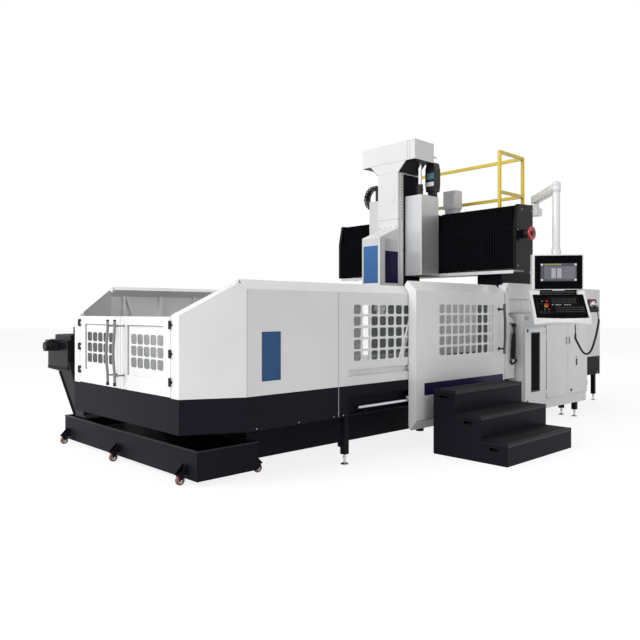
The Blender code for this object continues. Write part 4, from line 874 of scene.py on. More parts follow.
class MACHINE_OT_side(bpy.types.Operator):
    """Blue field, seams, screws, feet, guide rod, far wall, corner lips and window brace of the guarding"""

    bl_idname = "machine.side"
    bl_label = "Guarding details"

    def execute(self, context):
        add("wall_blue_field", [side_plate(-4.80, 0.96, -4.57, 1.42, WALL, 0.0015, 0.004)], "machine",
            blue_paint())
        seams = [
            side_plate(-3.7915, 0.832, -3.7885, 1.812, WALL, 0.0006, 0.001),
            side_plate(-4.9715, 0.832, -4.9690, 1.812, WALL, 0.0006, 0.001),
        ]
        add("wall_seams", seams, "machine", dark_grey_paint())
        steel = [side_plate(-3.796, 0.520, -3.786, 0.826, WALL, 0.0012, 0.001)]
        add("skirt_seam", steel, "machine", light_grey_paint())
        radius = sizes().screw
        screws = heads("X", 1, WALL, (-4.86, -4.34, -3.86, -3.72), (0.530,), radius * 0.8)
        screws += heads("X", -1, -WALL, np.linspace(-4.8, -0.6, 8), SKIRT_ROWS, radius, 0.004)
        for side in (-1, 1):
            screws += heads("X", side, side * REAR_SIDE, np.linspace(0.55, 2.95, 6),
                            SKIRT_ROWS, radius, 0.004)
        screws += heads("Y", 1, REAR_FACE, np.linspace(-0.75, 0.75, 5), SKIRT_ROWS, radius, 0.004)
        add("skirt_screws", screws, "machine", satin_aluminium())
        feet = []
        for side in (-1, 1):
            feet += levelling_foot(side * 1.306, -3.643) + levelling_foot(side * 0.906, 3.289)
        feet += levelling_foot(1.53, 1.20) + levelling_foot(1.32, 1.20)
        add("levelling_feet", feet, "machine", ground_steel())
        path = np.array([(WALL - 0.030, -3.463, 0.585), (WALL - 0.030, -0.938, 0.585)])
        holders = [slab((WALL - 0.0745, y - 0.020, 0.531), (WALL - 0.022, y + 0.020, 0.580), 0.003)
                   for y in (-3.361, -2.2, -1.0)]
        add("guide_rod_holders", holders, "machine", black_paint())
        add("guide_rod_bar", [tube(path, 0.0155, 28)], "machine", satin_aluminium(), True)
        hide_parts("door_guide_rod")
        wall = [(0.8293, -1.366), (1.813, -1.366), (1.907, -1.247), (1.868, -1.216), (1.789, -1.316),
                (0.8293, -1.316)]
        rib = [(0.8333, -1.318), (1.795, -1.318), (1.795, -1.279), (0.8333, -1.279)]
        inside = [prism("Y", wall, -4.97, -0.51)]
        inside += [prism("Y", rib, y - 0.018, y + 0.018, 0.001) for y in np.arange(-4.815, -0.6, 0.495)]
        inside.append(prism("X", [(-4.80, 1.785), (-4.765, 1.785), (-4.395, 0.834), (-4.430, 0.834)],
                            -1.318, -1.284, 0.001))
        # The inner wall takes the lighter copy of the white paint: painted light.
        add("side_wall_left_shell", inside, "machine", lit_white_paint(), False, 0.002)
        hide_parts("side_wall_left")
        lips = []
        plan = ((0.9585, -5.508), (1.093, -5.508), (1.3196, -5.062), (1.247, -4.971))
        for sign in (-1, 1):
            points, faces = prism("Z", [(sign * x, y) for x, y in plan], -0.003, 0.002)
            points[:, 2] += 1.569 + (points[:, 1] + 5.51) * 0.338 / 0.54
            lips.append((points, faces))
        add("corner_lips", lips, "machine", white_paint())
        brace = [(-2.765, 1.020), (-2.705, 1.020), (-2.398, 1.740), (-2.458, 1.740)]
        # The brace takes the lighter copy of the white paint too: painted light.
        add("window_brace", [prism("X", brace, 1.290, 1.3135, 0.002)], "machine", lit_white_paint())
        sleeves = [slab((x - 0.0345, 1.20 - 0.0345, 0.1085), (x + 0.0345, 1.20 + 0.0345, 0.2325), 0.003)
                   for x in (1.53, 1.32)]
        add("cabinet_leg_sleeves", sleeves, "machine", black_paint())
        return {"FINISHED"}


class MACHINE_OT_side_door(bpy.types.Operator):
    """Bar handle, dark band and steel lip of the sliding door"""

    bl_idname = "machine.side_door"
    bl_label = "Sliding door"

    def execute(self, context):
        bow = [(1.055, 0.0), (1.12, 0.0), (1.25, 0.008), (1.38, 0.010), (1.51, 0.008),
               (1.64, 0.0), (1.71, 0.0)]
        path = smooth_path([(1.571 + bend, -0.905, z) for z, bend in bow], 6)
        add("side_grip", [tube(path, 0.0172, 22)], "side_door", dark_steel(), True, 0.002)
        post = [(0.024, DOOR_FACE - 0.001), (0.024, DOOR_FACE + 0.004),
                (0.0115, DOOR_FACE + 0.007), (0.0115, 1.572)]
        posts = [turned("X", (0, -0.905, z), post, 20) for z in (1.12, 1.64)]
        add("side_grip_posts", posts, "side_door", black_plastic())
        add("side_door_band",
            [side_plate(-2.51, 0.64, -0.80, 0.782, DOOR_FACE, 0.0015, 0.004)], "side_door",
            violet_paint())
        lip = [prism("Y", [(z, x) for x, z in (
            (DOOR_FACE + 0.001, 0.366), (DOOR_FACE + 0.001, 0.36), (DOOR_FACE - 0.084, 0.250),
            (DOOR_FACE - 0.080, 0.246),
            (DOOR_FACE + 0.005, 0.357), (DOOR_FACE + 0.005, 0.366))], -2.655, -0.775)]
        add("side_door_steel_lip", lip, "side_door", light_grey_paint())
        screws = heads("X", 1, DOOR_FACE, (-2.60, -0.83), (0.42, 1.02, 1.78), sizes().screw * 0.8)
        add("side_door_screws", screws, "side_door", satin_aluminium())
        return {"FINISHED"}


# Head: saddle, ram and their covers; HEAD is the middle of the head along X

HEAD = -0.0945
RAM_SIDE, RAM_FRONT = HEAD + 0.1885, -1.30
COVER_FRONT, COVER_HALF = -1.147, 0.4955
CYLINDER_OUT = 0.352
SPINDLE = (-0.0675, -1.48)
HAND_DISC = (0, -0.535, 2.655)


def bellows_surface(outer, inner, front, pleats, depth):
    """Pleated curtain. Across, the depth follows |sin| of the place in the pleat, so the crests are
    round and the folds sharp; upward it stands straight to the knee and leans back above it. The
    back wall lies one skin behind, and the rims join both."""
    across = np.linspace(0, 1, pleats * 12 + 1)
    x = outer + (inner - outer) * across
    wave = depth * (1 - np.abs(np.sin(np.pi * pleats * across)) ** 0.75)
    z = np.array([2.186, 2.192, 2.45, 2.70, 2.725, 2.74, 2.755, 2.78, 2.90, 3.024, 3.03])
    lean = 0.062 * np.clip((z - 2.72) / 0.05, 0, 1) ** 1.5
    xs, zs = np.meshgrid(x, z)
    near = front + wave[None, :] + lean[:, None]
    rear = near + 0.011
    count, wide = xs.shape
    points = np.concatenate([np.stack([xs, face, zs], -1).reshape(-1, 3) for face in (near, rear)])
    sheet = np.array(grid_faces(count, wide, close_columns=False))
    shift = count * wide
    top = (count - 1) * wide
    j = np.arange(wide - 1)
    i = np.arange(count - 1) * wide
    rims = [
        np.stack([j + 1, j, j + shift, j + 1 + shift], -1),
        np.stack([top + j, top + j + 1, top + j + 1 + shift, top + j + shift], -1),
        np.stack([i, i + wide, i + wide + shift, i + shift], -1),
        np.stack([i + wide + wide - 1, i + wide - 1, i + wide - 1 + shift,
                  i + wide + wide - 1 + shift], -1),
    ]
    faces = np.concatenate([sheet, sheet[:, ::-1] + shift, *rims])
    if inner < outer:
        faces = faces[:, ::-1]
    uv = np.stack([xs, zs], -1).reshape(-1, 2)
    return points, faces.tolist(), np.concatenate([uv, uv])


def with_uv(piece, uv):
    """Writes one UV place per vertex into the mesh's map."""
    layer = piece.data.uv_layers.new(name="flat")
    corner = np.empty(len(piece.data.loops), int)
    piece.data.loops.foreach_get("vertex_index", corner)
    layer.data.foreach_set("uv", np.asarray(uv, float)[corner].ravel())
    return piece


class MACHINE_OT_bellows(bpy.types.Operator):
    """Pleated way covers left and right of the saddle"""

    bl_idname = "machine.bellows"
    bl_label = "Bellows"

    def execute(self, context):
        depth, pleats = sizes().pleat_depth, sizes().pleats
        for word, outer, inner in (("left", -1.5994, -0.5905), ("right", 1.5994, 0.4015)):
            points, faces, uv = bellows_surface(outer, inner, -0.742, pleats, depth)
            piece = with_uv(mesh_piece("bellows_cloth_" + word, points, faces, True), uv)
            piece.data.materials.append(bellows_cloth())
            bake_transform(piece)
            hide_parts("bellows_" + word)
        return {"FINISHED"}


class MACHINE_OT_beam(bpy.types.Operator):
    """Hand disc, screws, brackets, railing feet and terminal box lid on the cross beam"""

    bl_idname = "machine.beam"
    bl_label = "Beam details"

    def execute(self, context):
        hub = turned("X", HAND_DISC, [(0.050, 1.6484), (0.058, 1.656), (0.058, 1.735), (0.048, 1.7405)], 40)
        add("hand_disc_hub", [hub], "machine", black_plastic(), False, 0.001)
        ring = [(0.060, 1.7395), (0.0885, 1.742), (0.0925, 1.750), (0.0925, 1.763), (0.0885, 1.7705),
                (0.070, 1.7700),
                (0.064, 1.7640), (0.044, 1.7640)]
        add("hand_disc", [turned("X", HAND_DISC, ring, 56)], "machine", red_plastic(), True, 0.001)
        knob = turned("X", HAND_DISC,
                      [(0.030, 1.7630), (0.034, 1.765), (0.034, 1.774), (0.028, 1.7765)], 32)
        add("hand_disc_knob", [knob], "machine", black_plastic(), False, 0.001)
        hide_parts("beam_end_motor")
        screws = [disc("X", sign, (sign * 1.648, y, z), 0.008, 0.004) for sign in (-1, 1)
                  for y, z in ((-0.70, 2.22), (-0.70, 2.70), (-0.34, 2.22), (-0.34, 2.98), (-0.60, 2.98))]
        add("end_cap_screws", screws, "machine", satin_aluminium())
        brackets = [slab((x - 0.018, -0.70, 2.130), (x + 0.018, -0.50, 2.156), 0.003)
                    for x in (-1.45, -0.95, -0.45, 0.45, 0.95, 1.45)]
        add("rail_cover_brackets", brackets, "machine", black_paint())
        screws = heads("Y", -1, -0.735, np.linspace(-1.5, 1.5, 13), (2.142,))
        add("rail_cover_screws", screws, "machine", turned_steel())
        feet = []
        for x, y in ((1.20, -0.41), (1.20, 0.226), (-1.20, 0.226)):
            feet.append(slab((x - 0.043, y - 0.028, 3.0005), (x + 0.043, y + 0.043, 3.0125), 0.005))
            for dx in (-0.033, 0.033):
                feet.append(bolt("Z", 1, (x + dx, y + 0.012, 3.0125), 0.007, 0.006))
        add("railing_feet", feet, "machine", yellow_paint())
        box = [plate("Z", 1, 3.44, 0.178, -0.302, 0.394, -0.153, 0.004, 0.006),
               plate("Y", -1, -0.31, 3.19, 0.19, 3.42, 0.382, 0.003, 0.008)]
        add("terminal_box_lid", box, "machine", white_paint())
        screws = heads("Y", -1, -0.313, (0.20, 0.372), (3.205, 3.405))
        screws += heads("X", 1, 0.402, (-0.29, -0.165), (3.19, 3.41))
        add("terminal_box_screws", screws, "machine", satin_aluminium())
        return {"FINISHED"}


class MACHINE_OT_ram(bpy.types.Operator):
    """Seams, bolts and side plate of the ram, seams and soffit of its hood, and the piston rods"""

    bl_idname = "machine.ram"
    bl_label = "Ram and head"

    def execute(self, context):
        side, front = RAM_SIDE, RAM_FRONT
        seams = [
            front_plate(HEAD - 0.186, 2.9425, side - 0.002, 2.9455, front, 0.0005, 0.001),
            side_plate(-1.298, 2.9425, -0.792, 2.9455, side, 0.0005, 0.001),
            plate("X", -1, HEAD - 0.1885, -1.298, 2.9425, -0.792, 2.9455, 0.0005, 0.001),
            side_plate(-1.2575, 2.00, -1.2545, 3.615, side, 0.0005, 0.001),
        ]
        add("ram_seams", seams, "ram", dark_grey_paint())
        bolts = heads("Y", -1, front,
                      (HEAD - 0.155, HEAD - 0.052, HEAD + 0.052, HEAD + 0.155), (2.83,), 0.008)
        bolts += heads("Y", -1, front, (HEAD + 0.10,), (3.20,))
        bolts += heads("X", 1, side, (-1.205,), np.linspace(2.98, 3.58, 15), 0.010, 0.0015)
        bolts += heads("X", 1, side, (-1.19,), (2.50, 2.78), 0.007, 0.002)
        add("ram_bolts", bolts, "ram", black_plastic())
        add("ram_side_plate", [side_plate(-1.178, 1.90, -0.80, 3.60, side, 0.004, 0.003)], "ram",
            black_paint())
        seams = []
        for x in (HEAD + 0.360, HEAD + 0.400):
            seams.append(front_plate(x - 0.003, 3.765, x + 0.003, 4.036, front, 0.0006, 0.001))
        seams.append(front_plate(HEAD - 0.330, 3.764, HEAD + 0.330, 3.768, front, 0.0006, 0.001))
        add("hood_seams", seams, "ram", light_grey_paint())
        soffit = []
        for sign in (-1, 1):
            ends = sorted((HEAD + sign * 0.337, HEAD + sign * 0.490))
            soffit.append(plate("Z", -1, 3.76, ends[0], -1.296, ends[1], -0.858, 0.004, 0.003))
            strip = [(HEAD + sign * 0.2005, 3.6185), (HEAD + sign * 0.3360, 3.7590),
                     (HEAD + sign * 0.3395, 3.7560),
                     (HEAD + sign * 0.2040, 3.6155)]
            soffit.append(prism("Y", [(z, x) for x, z in strip], -1.296, -0.858, 0.001))
        add("hood_soffit", soffit, "ram", dark_grey_paint())
        rods = []
        for sign in (-1, 1):
            x = HEAD + sign * CYLINDER_OUT
            rods.append(upright(x, -1.0,
                                [(0.0278, 2.80), (0.0278, 3.735), (0.036, 3.738), (0.036, 3.7605)], 32))
        add("piston_rods", rods, "ram", turned_steel(), False)
        return {"FINISHED"}


class MACHINE_OT_head_cover(bpy.types.Operator):
    """Blue and dark fields, corner strips, screws and the spindle below the head cover"""

    bl_idname = "machine.head_cover"
    bl_label = "Head cover"

    def execute(self, context):
        front, right = -1.70, 0.100
        add("head_blue_field", [front_plate(-0.205, 2.01, 0.055, 2.535, front, 0.003, 0.006)], "ram",
            blue_paint())
        add("head_dark_field", [side_plate(-1.587, 2.015, -1.306, 2.468, right, 0.003, 0.006)], "ram",
            violet_paint())
        silver = [
            front_plate(-0.205, 2.545, 0.055, 2.640, front, 0.002, 0.004),
            side_plate(-1.587, 2.476, -1.306, 2.640, right, 0.002, 0.004),
        ]
        add("head_silver_fields", silver, "ram", satin_aluminium())
        strips = [side_plate(y - 0.0025, 1.90, y + 0.0025, 2.645, right, 0.0012, 0.001)
                  for y in (-1.672, -1.630, -1.596)]
        strips.append(front_plate(0.062, 1.90, 0.067, 2.645, front, 0.0012, 0.001))
        strips.append(front_plate(-0.222, 1.90, -0.217, 2.645, front, 0.0012, 0.001))
        add("head_corner_strips", strips, "ram", light_grey_paint())
        add("head_dark_edge", [front_plate(0.0555, 2.01, 0.0615, 2.535, front, 0.0035, 0.001)], "ram",
            black_plastic())
        lamp = [front_plate(-0.150, 1.885, 0.015, 1.965, front, 0.012, 0.006)]
        add("head_lamp", lamp, "ram", light_grey_paint())
        screws = heads("Y", -1, front, (-0.228, 0.090), (1.93, 2.30, 2.62))
        screws += heads("X", 1, right, (-1.612, -1.325), (1.93, 2.62))
        screws += heads("X", -1, -0.235, (-1.66, -1.34), (1.93, 2.30, 2.62))
        add("head_cover_screws", screws, "ram", satin_aluminium())
        x, y = SPINDLE
        nose = upright(x, y, [
            (0.060, 1.580), (0.064, 1.584), (0.064, 1.618), (0.088, 1.622), (0.095, 1.630), (0.095, 1.690),
            (0.092, 1.693), (0.092, 1.699), (0.095, 1.702), (0.095, 1.738), (0.118, 1.742), (0.125, 1.750),
            (0.125, 1.800), (0.121, 1.804), (0.121, 1.812), (0.125, 1.816), (0.125, 1.8597)], 64)
        add("spindle_nose", [nose], "ram", turned_steel(), False)
        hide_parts("spindle")
        ring = []
        for angle in np.linspace(0, 2 * np.pi, 8, endpoint=False):
            place = (x + 0.109 * math.cos(angle), y + 0.109 * math.sin(angle), 1.7415)
            ring.append(disc("Z", -1, place, 0.007, 0.006))
        ring.append(upright(x, y, [(0.030, 1.5795), (0.040, 1.5790), (0.040, 1.582), (0.030, 1.5825)], 32))
        add("spindle_bolts", ring, "ram", black_plastic())
        return {"FINISHED"}


def chain_link(centre, angle, y0, y1):
    """One link of the cable chain: two pierced side plates with round ends and two cross bars between them.
    The link's own u axis runs along the chain and its v axis outward; both are turned by the angle."""
    parts = []
    turn = np.array([[math.cos(angle), -math.sin(angle)], [math.sin(angle), math.cos(angle)]])

    def turned_outline(outline):
        return np.asarray(outline) @ turn.T + np.asarray(centre)

    outer = rounded(-0.022, -0.026, 0.022, 0.026, 0.018, 4)
    eye = rounded(-0.010, -0.014, 0.010, 0.014, 0.008, 4)
    for low in (y0, y1 - 0.010):
        a, b = turned_outline(outer), turned_outline(eye)
        rows = [(a, low), (a, low + 0.010), (b, low + 0.010), (b, low)]
        points, faces = hoop(np.stack([np.stack([ring[:, 0], np.full(len(ring), y), ring[:, 1]], -1)
                                       for ring, y in rows]))
        parts.append((points, [face[::-1] for face in faces]))
    for v in (-0.024, 0.020):
        bar = turned_outline([(-0.009, v), (0.009, v), (0.009, v + 0.004), (-0.009, v + 0.004)])
        parts.append(prism("Y", bar[:, ::-1], y0 + 0.010, y1 - 0.010))
    return parts


class MACHINE_OT_saddle(bpy.types.Operator):
    """Cover screws and folds, balance cylinders, cable chain and lubrication unit of the saddle"""

    bl_idname = "machine.saddle"
    bl_label = "Saddle"

    def execute(self, context):
        screws, rows = [], (2.20, 2.72, 3.22)
        for sign in (-1, 1):
            x0, x1 = sorted((HEAD + sign * 0.225, HEAD + sign * 0.465))
            screws += heads("Y", -1, COVER_FRONT, (x0, x1), rows, 0.007)
            screws += heads("X", sign, HEAD + sign * COVER_HALF, (-1.11, -0.79), rows, 0.007)
        add("side_cover_screws", screws, "saddle", turned_steel())
        folds = []
        for sign in (-1, 1):
            ends = sorted((HEAD + sign * COVER_HALF, HEAD + sign * 0.4815))
            folds.append(front_plate(ends[0] + 0.001, 2.133, ends[1], 3.274, COVER_FRONT, 0.0015, 0.002))
        add("side_cover_folds", folds, "saddle", white_paint())
        for sign, word in ((-1, "left"), (1, "right")):
            x = HEAD + sign * CYLINDER_OUT
            body = upright(x, -1.0, [
                (0.040, 2.2205), (0.0455, 2.224), (0.0455, 3.36), (0.0495, 3.362), (0.0495, 3.392),
                (0.0455, 3.394),
                (0.0455, 3.445), (0.042, 3.450), (0.0300, 3.450), (0.0300, 2.57)], 40)
            add("balance_tube_" + word, [body], "saddle", dark_grey_paint())
            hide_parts("balance_cylinder_" + word)
        middle, z, radius = HEAD - 0.54, 3.36, 0.16
        links = sizes().chain_links
        parts = []
        for angle in np.linspace(math.radians(90), math.radians(270), links):
            centre = (middle + radius * math.cos(angle), z + radius * math.sin(angle))
            parts += chain_link(centre, angle + math.pi / 2, -1.02, -0.92)
        for x in (middle + 0.032, middle + 0.064):
            parts += chain_link((x, z + radius), 0.0, -1.02, -0.92)
        foot = HEAD - COVER_HALF
        parts.append(slab((foot + 0.002, -1.012, 3.2775), (foot + 0.083, -0.928, 3.50), 0.004))
        parts.append(slab((foot - 0.002, -1.008, 3.50), (foot + 0.080, -0.932, 3.538), 0.004))
        add("chain_links", parts, "saddle", black_plastic(), False)
        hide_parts("cable_chain")
        cables = []
        for y, r in ((-0.995, 0.010), (-0.970, 0.012), (-0.945, 0.010)):
            angles = np.linspace(math.radians(90), math.radians(268), 24)
            path = np.stack([middle + radius * np.cos(angles), np.full(24, y),
                             z + radius * np.sin(angles)], -1)
            cables.append(tube(path, r, 10))
        add("chain_cables", cables, "saddle", hose_rubber(), True)
        x0, x1, base = 0.233, 0.397, 3.277
        unit = [front_plate(x0 + 0.024, base + 0.262, x1 - 0.008, base + 0.352, -0.84, 0.004, 0.006)]
        add("lubrication_screen", unit, "saddle", key_plastic("teal_screen", (0.075, 0.20, 0.27)))
        band = [slab((x0 + 0.018, -0.845, base + 0.160), (x1 - 0.012, -0.836, base + 0.222), 0.004, "Y")]
        add("lubrication_band", band, "saddle", white_paint())
        hook = smooth_path([(0.315, -0.77, 3.775), (0.315, -0.77, 3.83), (0.330, -0.77, 3.86),
                            (0.360, -0.77, 3.865),
                            (0.378, -0.77, 3.84)], 6)
        cap = upright(0.30, -0.77, [(0.030, 3.779), (0.032, 3.784), (0.032, 3.800), (0.026, 3.806)], 24)
        add("lubrication_filler", [tube(hook, 0.006, 12), cap], "saddle", black_plastic())
        return {"FINISHED"}


# Pendant

PIPE = (2.051, -0.437)
PENDANT_TURN = 38.4
BOOM_PIVOT = (1.383, 0.255)
CABLE_ROUTE = (
    (0.203, -0.160, 1.288), (0.203, -0.160, 1.268), (0.214, -0.163, 1.238), (0.229, -0.166, 1.207),
    (0.245, -0.170, 1.173), (0.262, -0.175, 1.137), (0.280, -0.181, 1.105), (0.301, -0.188, 1.081),
    (0.325, -0.196, 1.070), (0.349, -0.205, 1.077), (0.370, -0.213, 1.101), (0.388, -0.220, 1.138),
    (0.402, -0.226, 1.181), (0.415, -0.232, 1.229), (0.427, -0.237, 1.280), (0.438, -0.241, 1.334),
    (0.448, -0.245, 1.392), (0.457, -0.248, 1.440), (0.463, -0.250, 1.480), (0.463, -0.250, 1.500),
)


def on_pendant(parts):
    """Brings parts from the screen's own axes, whose -Y looks out of the screen, into the frame."""
    return turned_about_z(parts, PIPE, PENDANT_TURN)


def pendant_place(points):
    return on_pendant([(np.asarray(points, float), [])])[0][0]


DECK_TOP, DECK_END = np.array([-0.070, 1.838]), np.array([-0.385, 1.520])
DECK_LENGTH = float(np.linalg.norm(DECK_END - DECK_TOP))
DECK_ALONG = (DECK_END - DECK_TOP) / DECK_LENGTH
DECK_OUT = np.array([DECK_ALONG[1], -DECK_ALONG[0]])
KEY_FOOT, KEY_TOP = 0.0026, 0.0052


def on_deck(parts):
    """Lays parts on the key deck: x across, y up the slope from its lower edge, z out of it."""
    laid = []
    for points, faces in parts:
        points = np.asarray(points, float)
        slope = DECK_END[None] - DECK_ALONG[None] * points[:, 1:2] + DECK_OUT[None] * points[:, 2:3]
        laid.append((np.stack([points[:, 0], slope[:, 0], slope[:, 1]], -1), faces))
    return on_pendant(laid)


def deck_plate(x0, y0, x1, y1, low, high, radius=0.004):
    radius = min(radius, (x1 - x0) * 0.45, (y1 - y0) * 0.45)
    return prism("Z", rounded(x0, y0, x1, y1, radius), low, high, 0.0008)


def deck_button(x, y, radius, height):
    return upright(x, y, [(radius, 0.0), (radius, height * 0.7), (radius * 0.82, height)], 20)


class MACHINE_OT_cord(bpy.types.Operator):
    """The handwheel's cord, which leaves the gland below the deck, sags and rises to its lead"""

    bl_idname = "machine.cord"
    bl_label = "Handwheel cord"

    def execute(self, context):
        route = pendant_place(CABLE_ROUTE)
        fine = smooth_path(route, 12)
        points, faces = tube(fine, 0.013, 16)
        cord = mesh_piece("handwheel_cord", points, faces, True)
        travelled = np.concatenate([[0], np.cumsum(np.linalg.norm(np.diff(fine, axis=0), axis=1))])
        with_uv(cord, np.stack([np.repeat(travelled, 16), np.tile(np.linspace(0, 1, 16), len(fine))], -1))
        cord.data.materials.append(cable_rubber())
        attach(cord, "pendant")
        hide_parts("handwheel_cable")
        return {"FINISHED"}


class MACHINE_OT_monitor(bpy.types.Operator):
    """Front panel, screen, neck cover, hinge, vents and screws of the monitor"""

    bl_idname = "machine.monitor"
    bl_label = "Monitor"

    def execute(self, context):
        front = -0.08
        panel = on_pendant([front_plate(-0.2860, 1.902, 0.3080, 2.337, front, 0.003, 0.012)])
        add("monitor_panel", panel, "pendant", panel_film())
        points = pendant_place([(x, front - out, z) for out in (0.0036, 0.0016) for z in (2.004, 2.235)
                                for x in (-0.212, 0.238)])
        faces = [[0, 1, 3, 2], [4, 6, 7, 5], [0, 4, 5, 1], [1, 5, 7, 3], [3, 7, 6, 2], [2, 6, 4, 0]]
        glass = mesh_piece("screen", points, faces)
        flat = [(0, 0), (1, 0), (0, 1), (1, 1)] * 2
        place_on(with_uv(glass, flat), "pendant", screen_glass())
        neck = on_pendant([front_plate(-0.2235, 1.8315, 0.2355, 1.8935, front - 0.004, 0.004, 0.004)])
        add("monitor_neck_cover", neck, "pendant", panel_film())
        bar = [slab((-0.070, front - 0.016, 1.882), (0.085, front - 0.003, 1.897), 0.003, "X")]
        add("monitor_bar", on_pendant(bar), "pendant", satin_aluminium())
        hinge = [turned("X", (0, front - 0.002, 1.856),
                        [(0.020, x0), (0.024, x0 + 0.003), (0.024, x1 - 0.003), (0.020, x1)], 28)
                 for x0, x1 in ((-0.215, -0.075), (-0.070, 0.070), (0.075, 0.215))]
        add("monitor_hinge", on_pendant(hinge), "pendant", black_plastic())
        back = [plate("Y", 1, 0.03, z, -0.20, z + 0.006, 0.20, 0.002, 0.002)
                for z in np.linspace(2.02, 2.16, 9)]
        add("monitor_vents", on_pendant(back), "pendant", dark_grey_paint())
        screws = heads("Y", 1, 0.03, (-0.30, 0.30), (1.92, 2.33))
        add("monitor_screws", on_pendant(screws), "pendant", turned_steel())
        return {"FINISHED"}


class MACHINE_OT_key_deck(bpy.types.Operator):
    """Membrane, keys, switches and buttons of the sloping key deck"""

    bl_idname = "machine.key_deck"
    bl_label = "Key deck"

    def execute(self, context):
        length = DECK_LENGTH
        rim = 0.012
        columns = np.linspace(-0.3145, 0.3145, 25)
        low = 0.006 + 0.008 * (columns / 0.3145) ** 2
        outline = np.concatenate([np.stack([columns, low], -1),
                                  [(0.3145, length - rim), (-0.3145, length - rim)]])
        film = prism("Z", outline, 0.0002, 0.0028, 0.0006)
        add("deck_film", on_deck([film]), "pendant", panel_film())

        def row(s):
            return length * (1 - s)

        def key(x, s, wide, half, top=KEY_TOP):
            return deck_plate(x, row(s) - half, x + wide, row(s) + half, KEY_FOOT, top, 0.003)

        dark = [key(x, s, 0.019, 0.009) for s in np.linspace(0.20, 0.38, 4)
                for x in np.linspace(-0.09, 0.19, 11)]
        dark += [key(x, s, 0.021, 0.010) for s in (0.56, 0.64, 0.72) for x in np.linspace(-0.05, 0.26, 11)]
        add("dark_keys", on_deck(dark), "pendant", key_plastic("dark_keys", (0.010, 0.010, 0.013)))
        places = (-0.10, -0.055, -0.030, -0.005, 0.050, 0.080, 0.110)
        pale = [key(x, 0.455, 0.022, 0.006, 0.0050) for x in places]
        add("pale_keys", on_deck(pale), "pendant", key_plastic("pale_keys", (0.42, 0.43, 0.45)))
        lines, thick = [], 0.0018
        for x0, y0, x1, y1 in ((-0.12, row(0.44), 0.235, row(0.13)), (-0.07, row(0.78), 0.29, row(0.50)),
                               (-0.28, row(0.40), -0.135, row(0.20)), (-0.28, row(0.80), -0.11, row(0.42))):
            edges = ((x0, y0, x1, y0 + thick), (x0, y1 - thick, x1, y1), (x0, y0, x0 + thick, y1),
                     (x1 - thick, y0, x1, y1))
            lines += [deck_plate(*edge, KEY_FOOT, 0.0031, 0.0005) for edge in edges]
        add("deck_lines", on_deck(lines), "pendant",
            key_plastic("pale_lines", (0.030, 0.030, 0.036)))
        green = [deck_button(-0.210, row(0.31), 0.013, 0.010),
                 deck_button(-0.195, row(0.645), 0.011, 0.010)]
        add("green_keys", on_deck(green), "pendant", key_plastic("green_keys", (0.03, 0.16, 0.09)))
        stop = upright(-0.170, row(0.50), [(0.012, 0.004), (0.012, 0.016), (0.021, 0.018), (0.023, 0.026),
                                                    (0.019, 0.031)], 28)
        red = [deck_button(-0.155, row(0.31), 0.013, 0.010),
               deck_button(-0.145, row(0.645), 0.011, 0.010), stop]
        add("red_buttons", on_deck(red), "pendant",
            key_plastic("red_buttons", (0.50, 0.012, 0.015)))
        ring = upright(-0.170, row(0.50), [(0.0245, 0.002), (0.0245, 0.005), (0.023, 0.006)], 32)
        add("stop_ring", on_deck([ring]), "pendant", yellow_paint())
        dials = []
        for x in (-0.245, -0.200, -0.150):
            dials.append(upright(x, row(0.76), [(0.020, 0.002), (0.020, 0.005), (0.013, 0.007),
                                                         (0.012, 0.020), (0.010, 0.022)], 24))
            dials.append(deck_plate(x - 0.002, row(0.76) - 0.011, x + 0.002, row(0.76) + 0.011,
                                    0.020, 0.025, 0.001))
        add("deck_dials", on_deck(dials), "pendant", black_plastic())
        patch = deck_plate(-0.035, 0.0005, 0.035, 0.0055, 0.0002, 0.0016, 0.002)
        add("deck_patch", on_deck([patch]), "pendant", light_grey_paint())
        return {"FINISHED"}


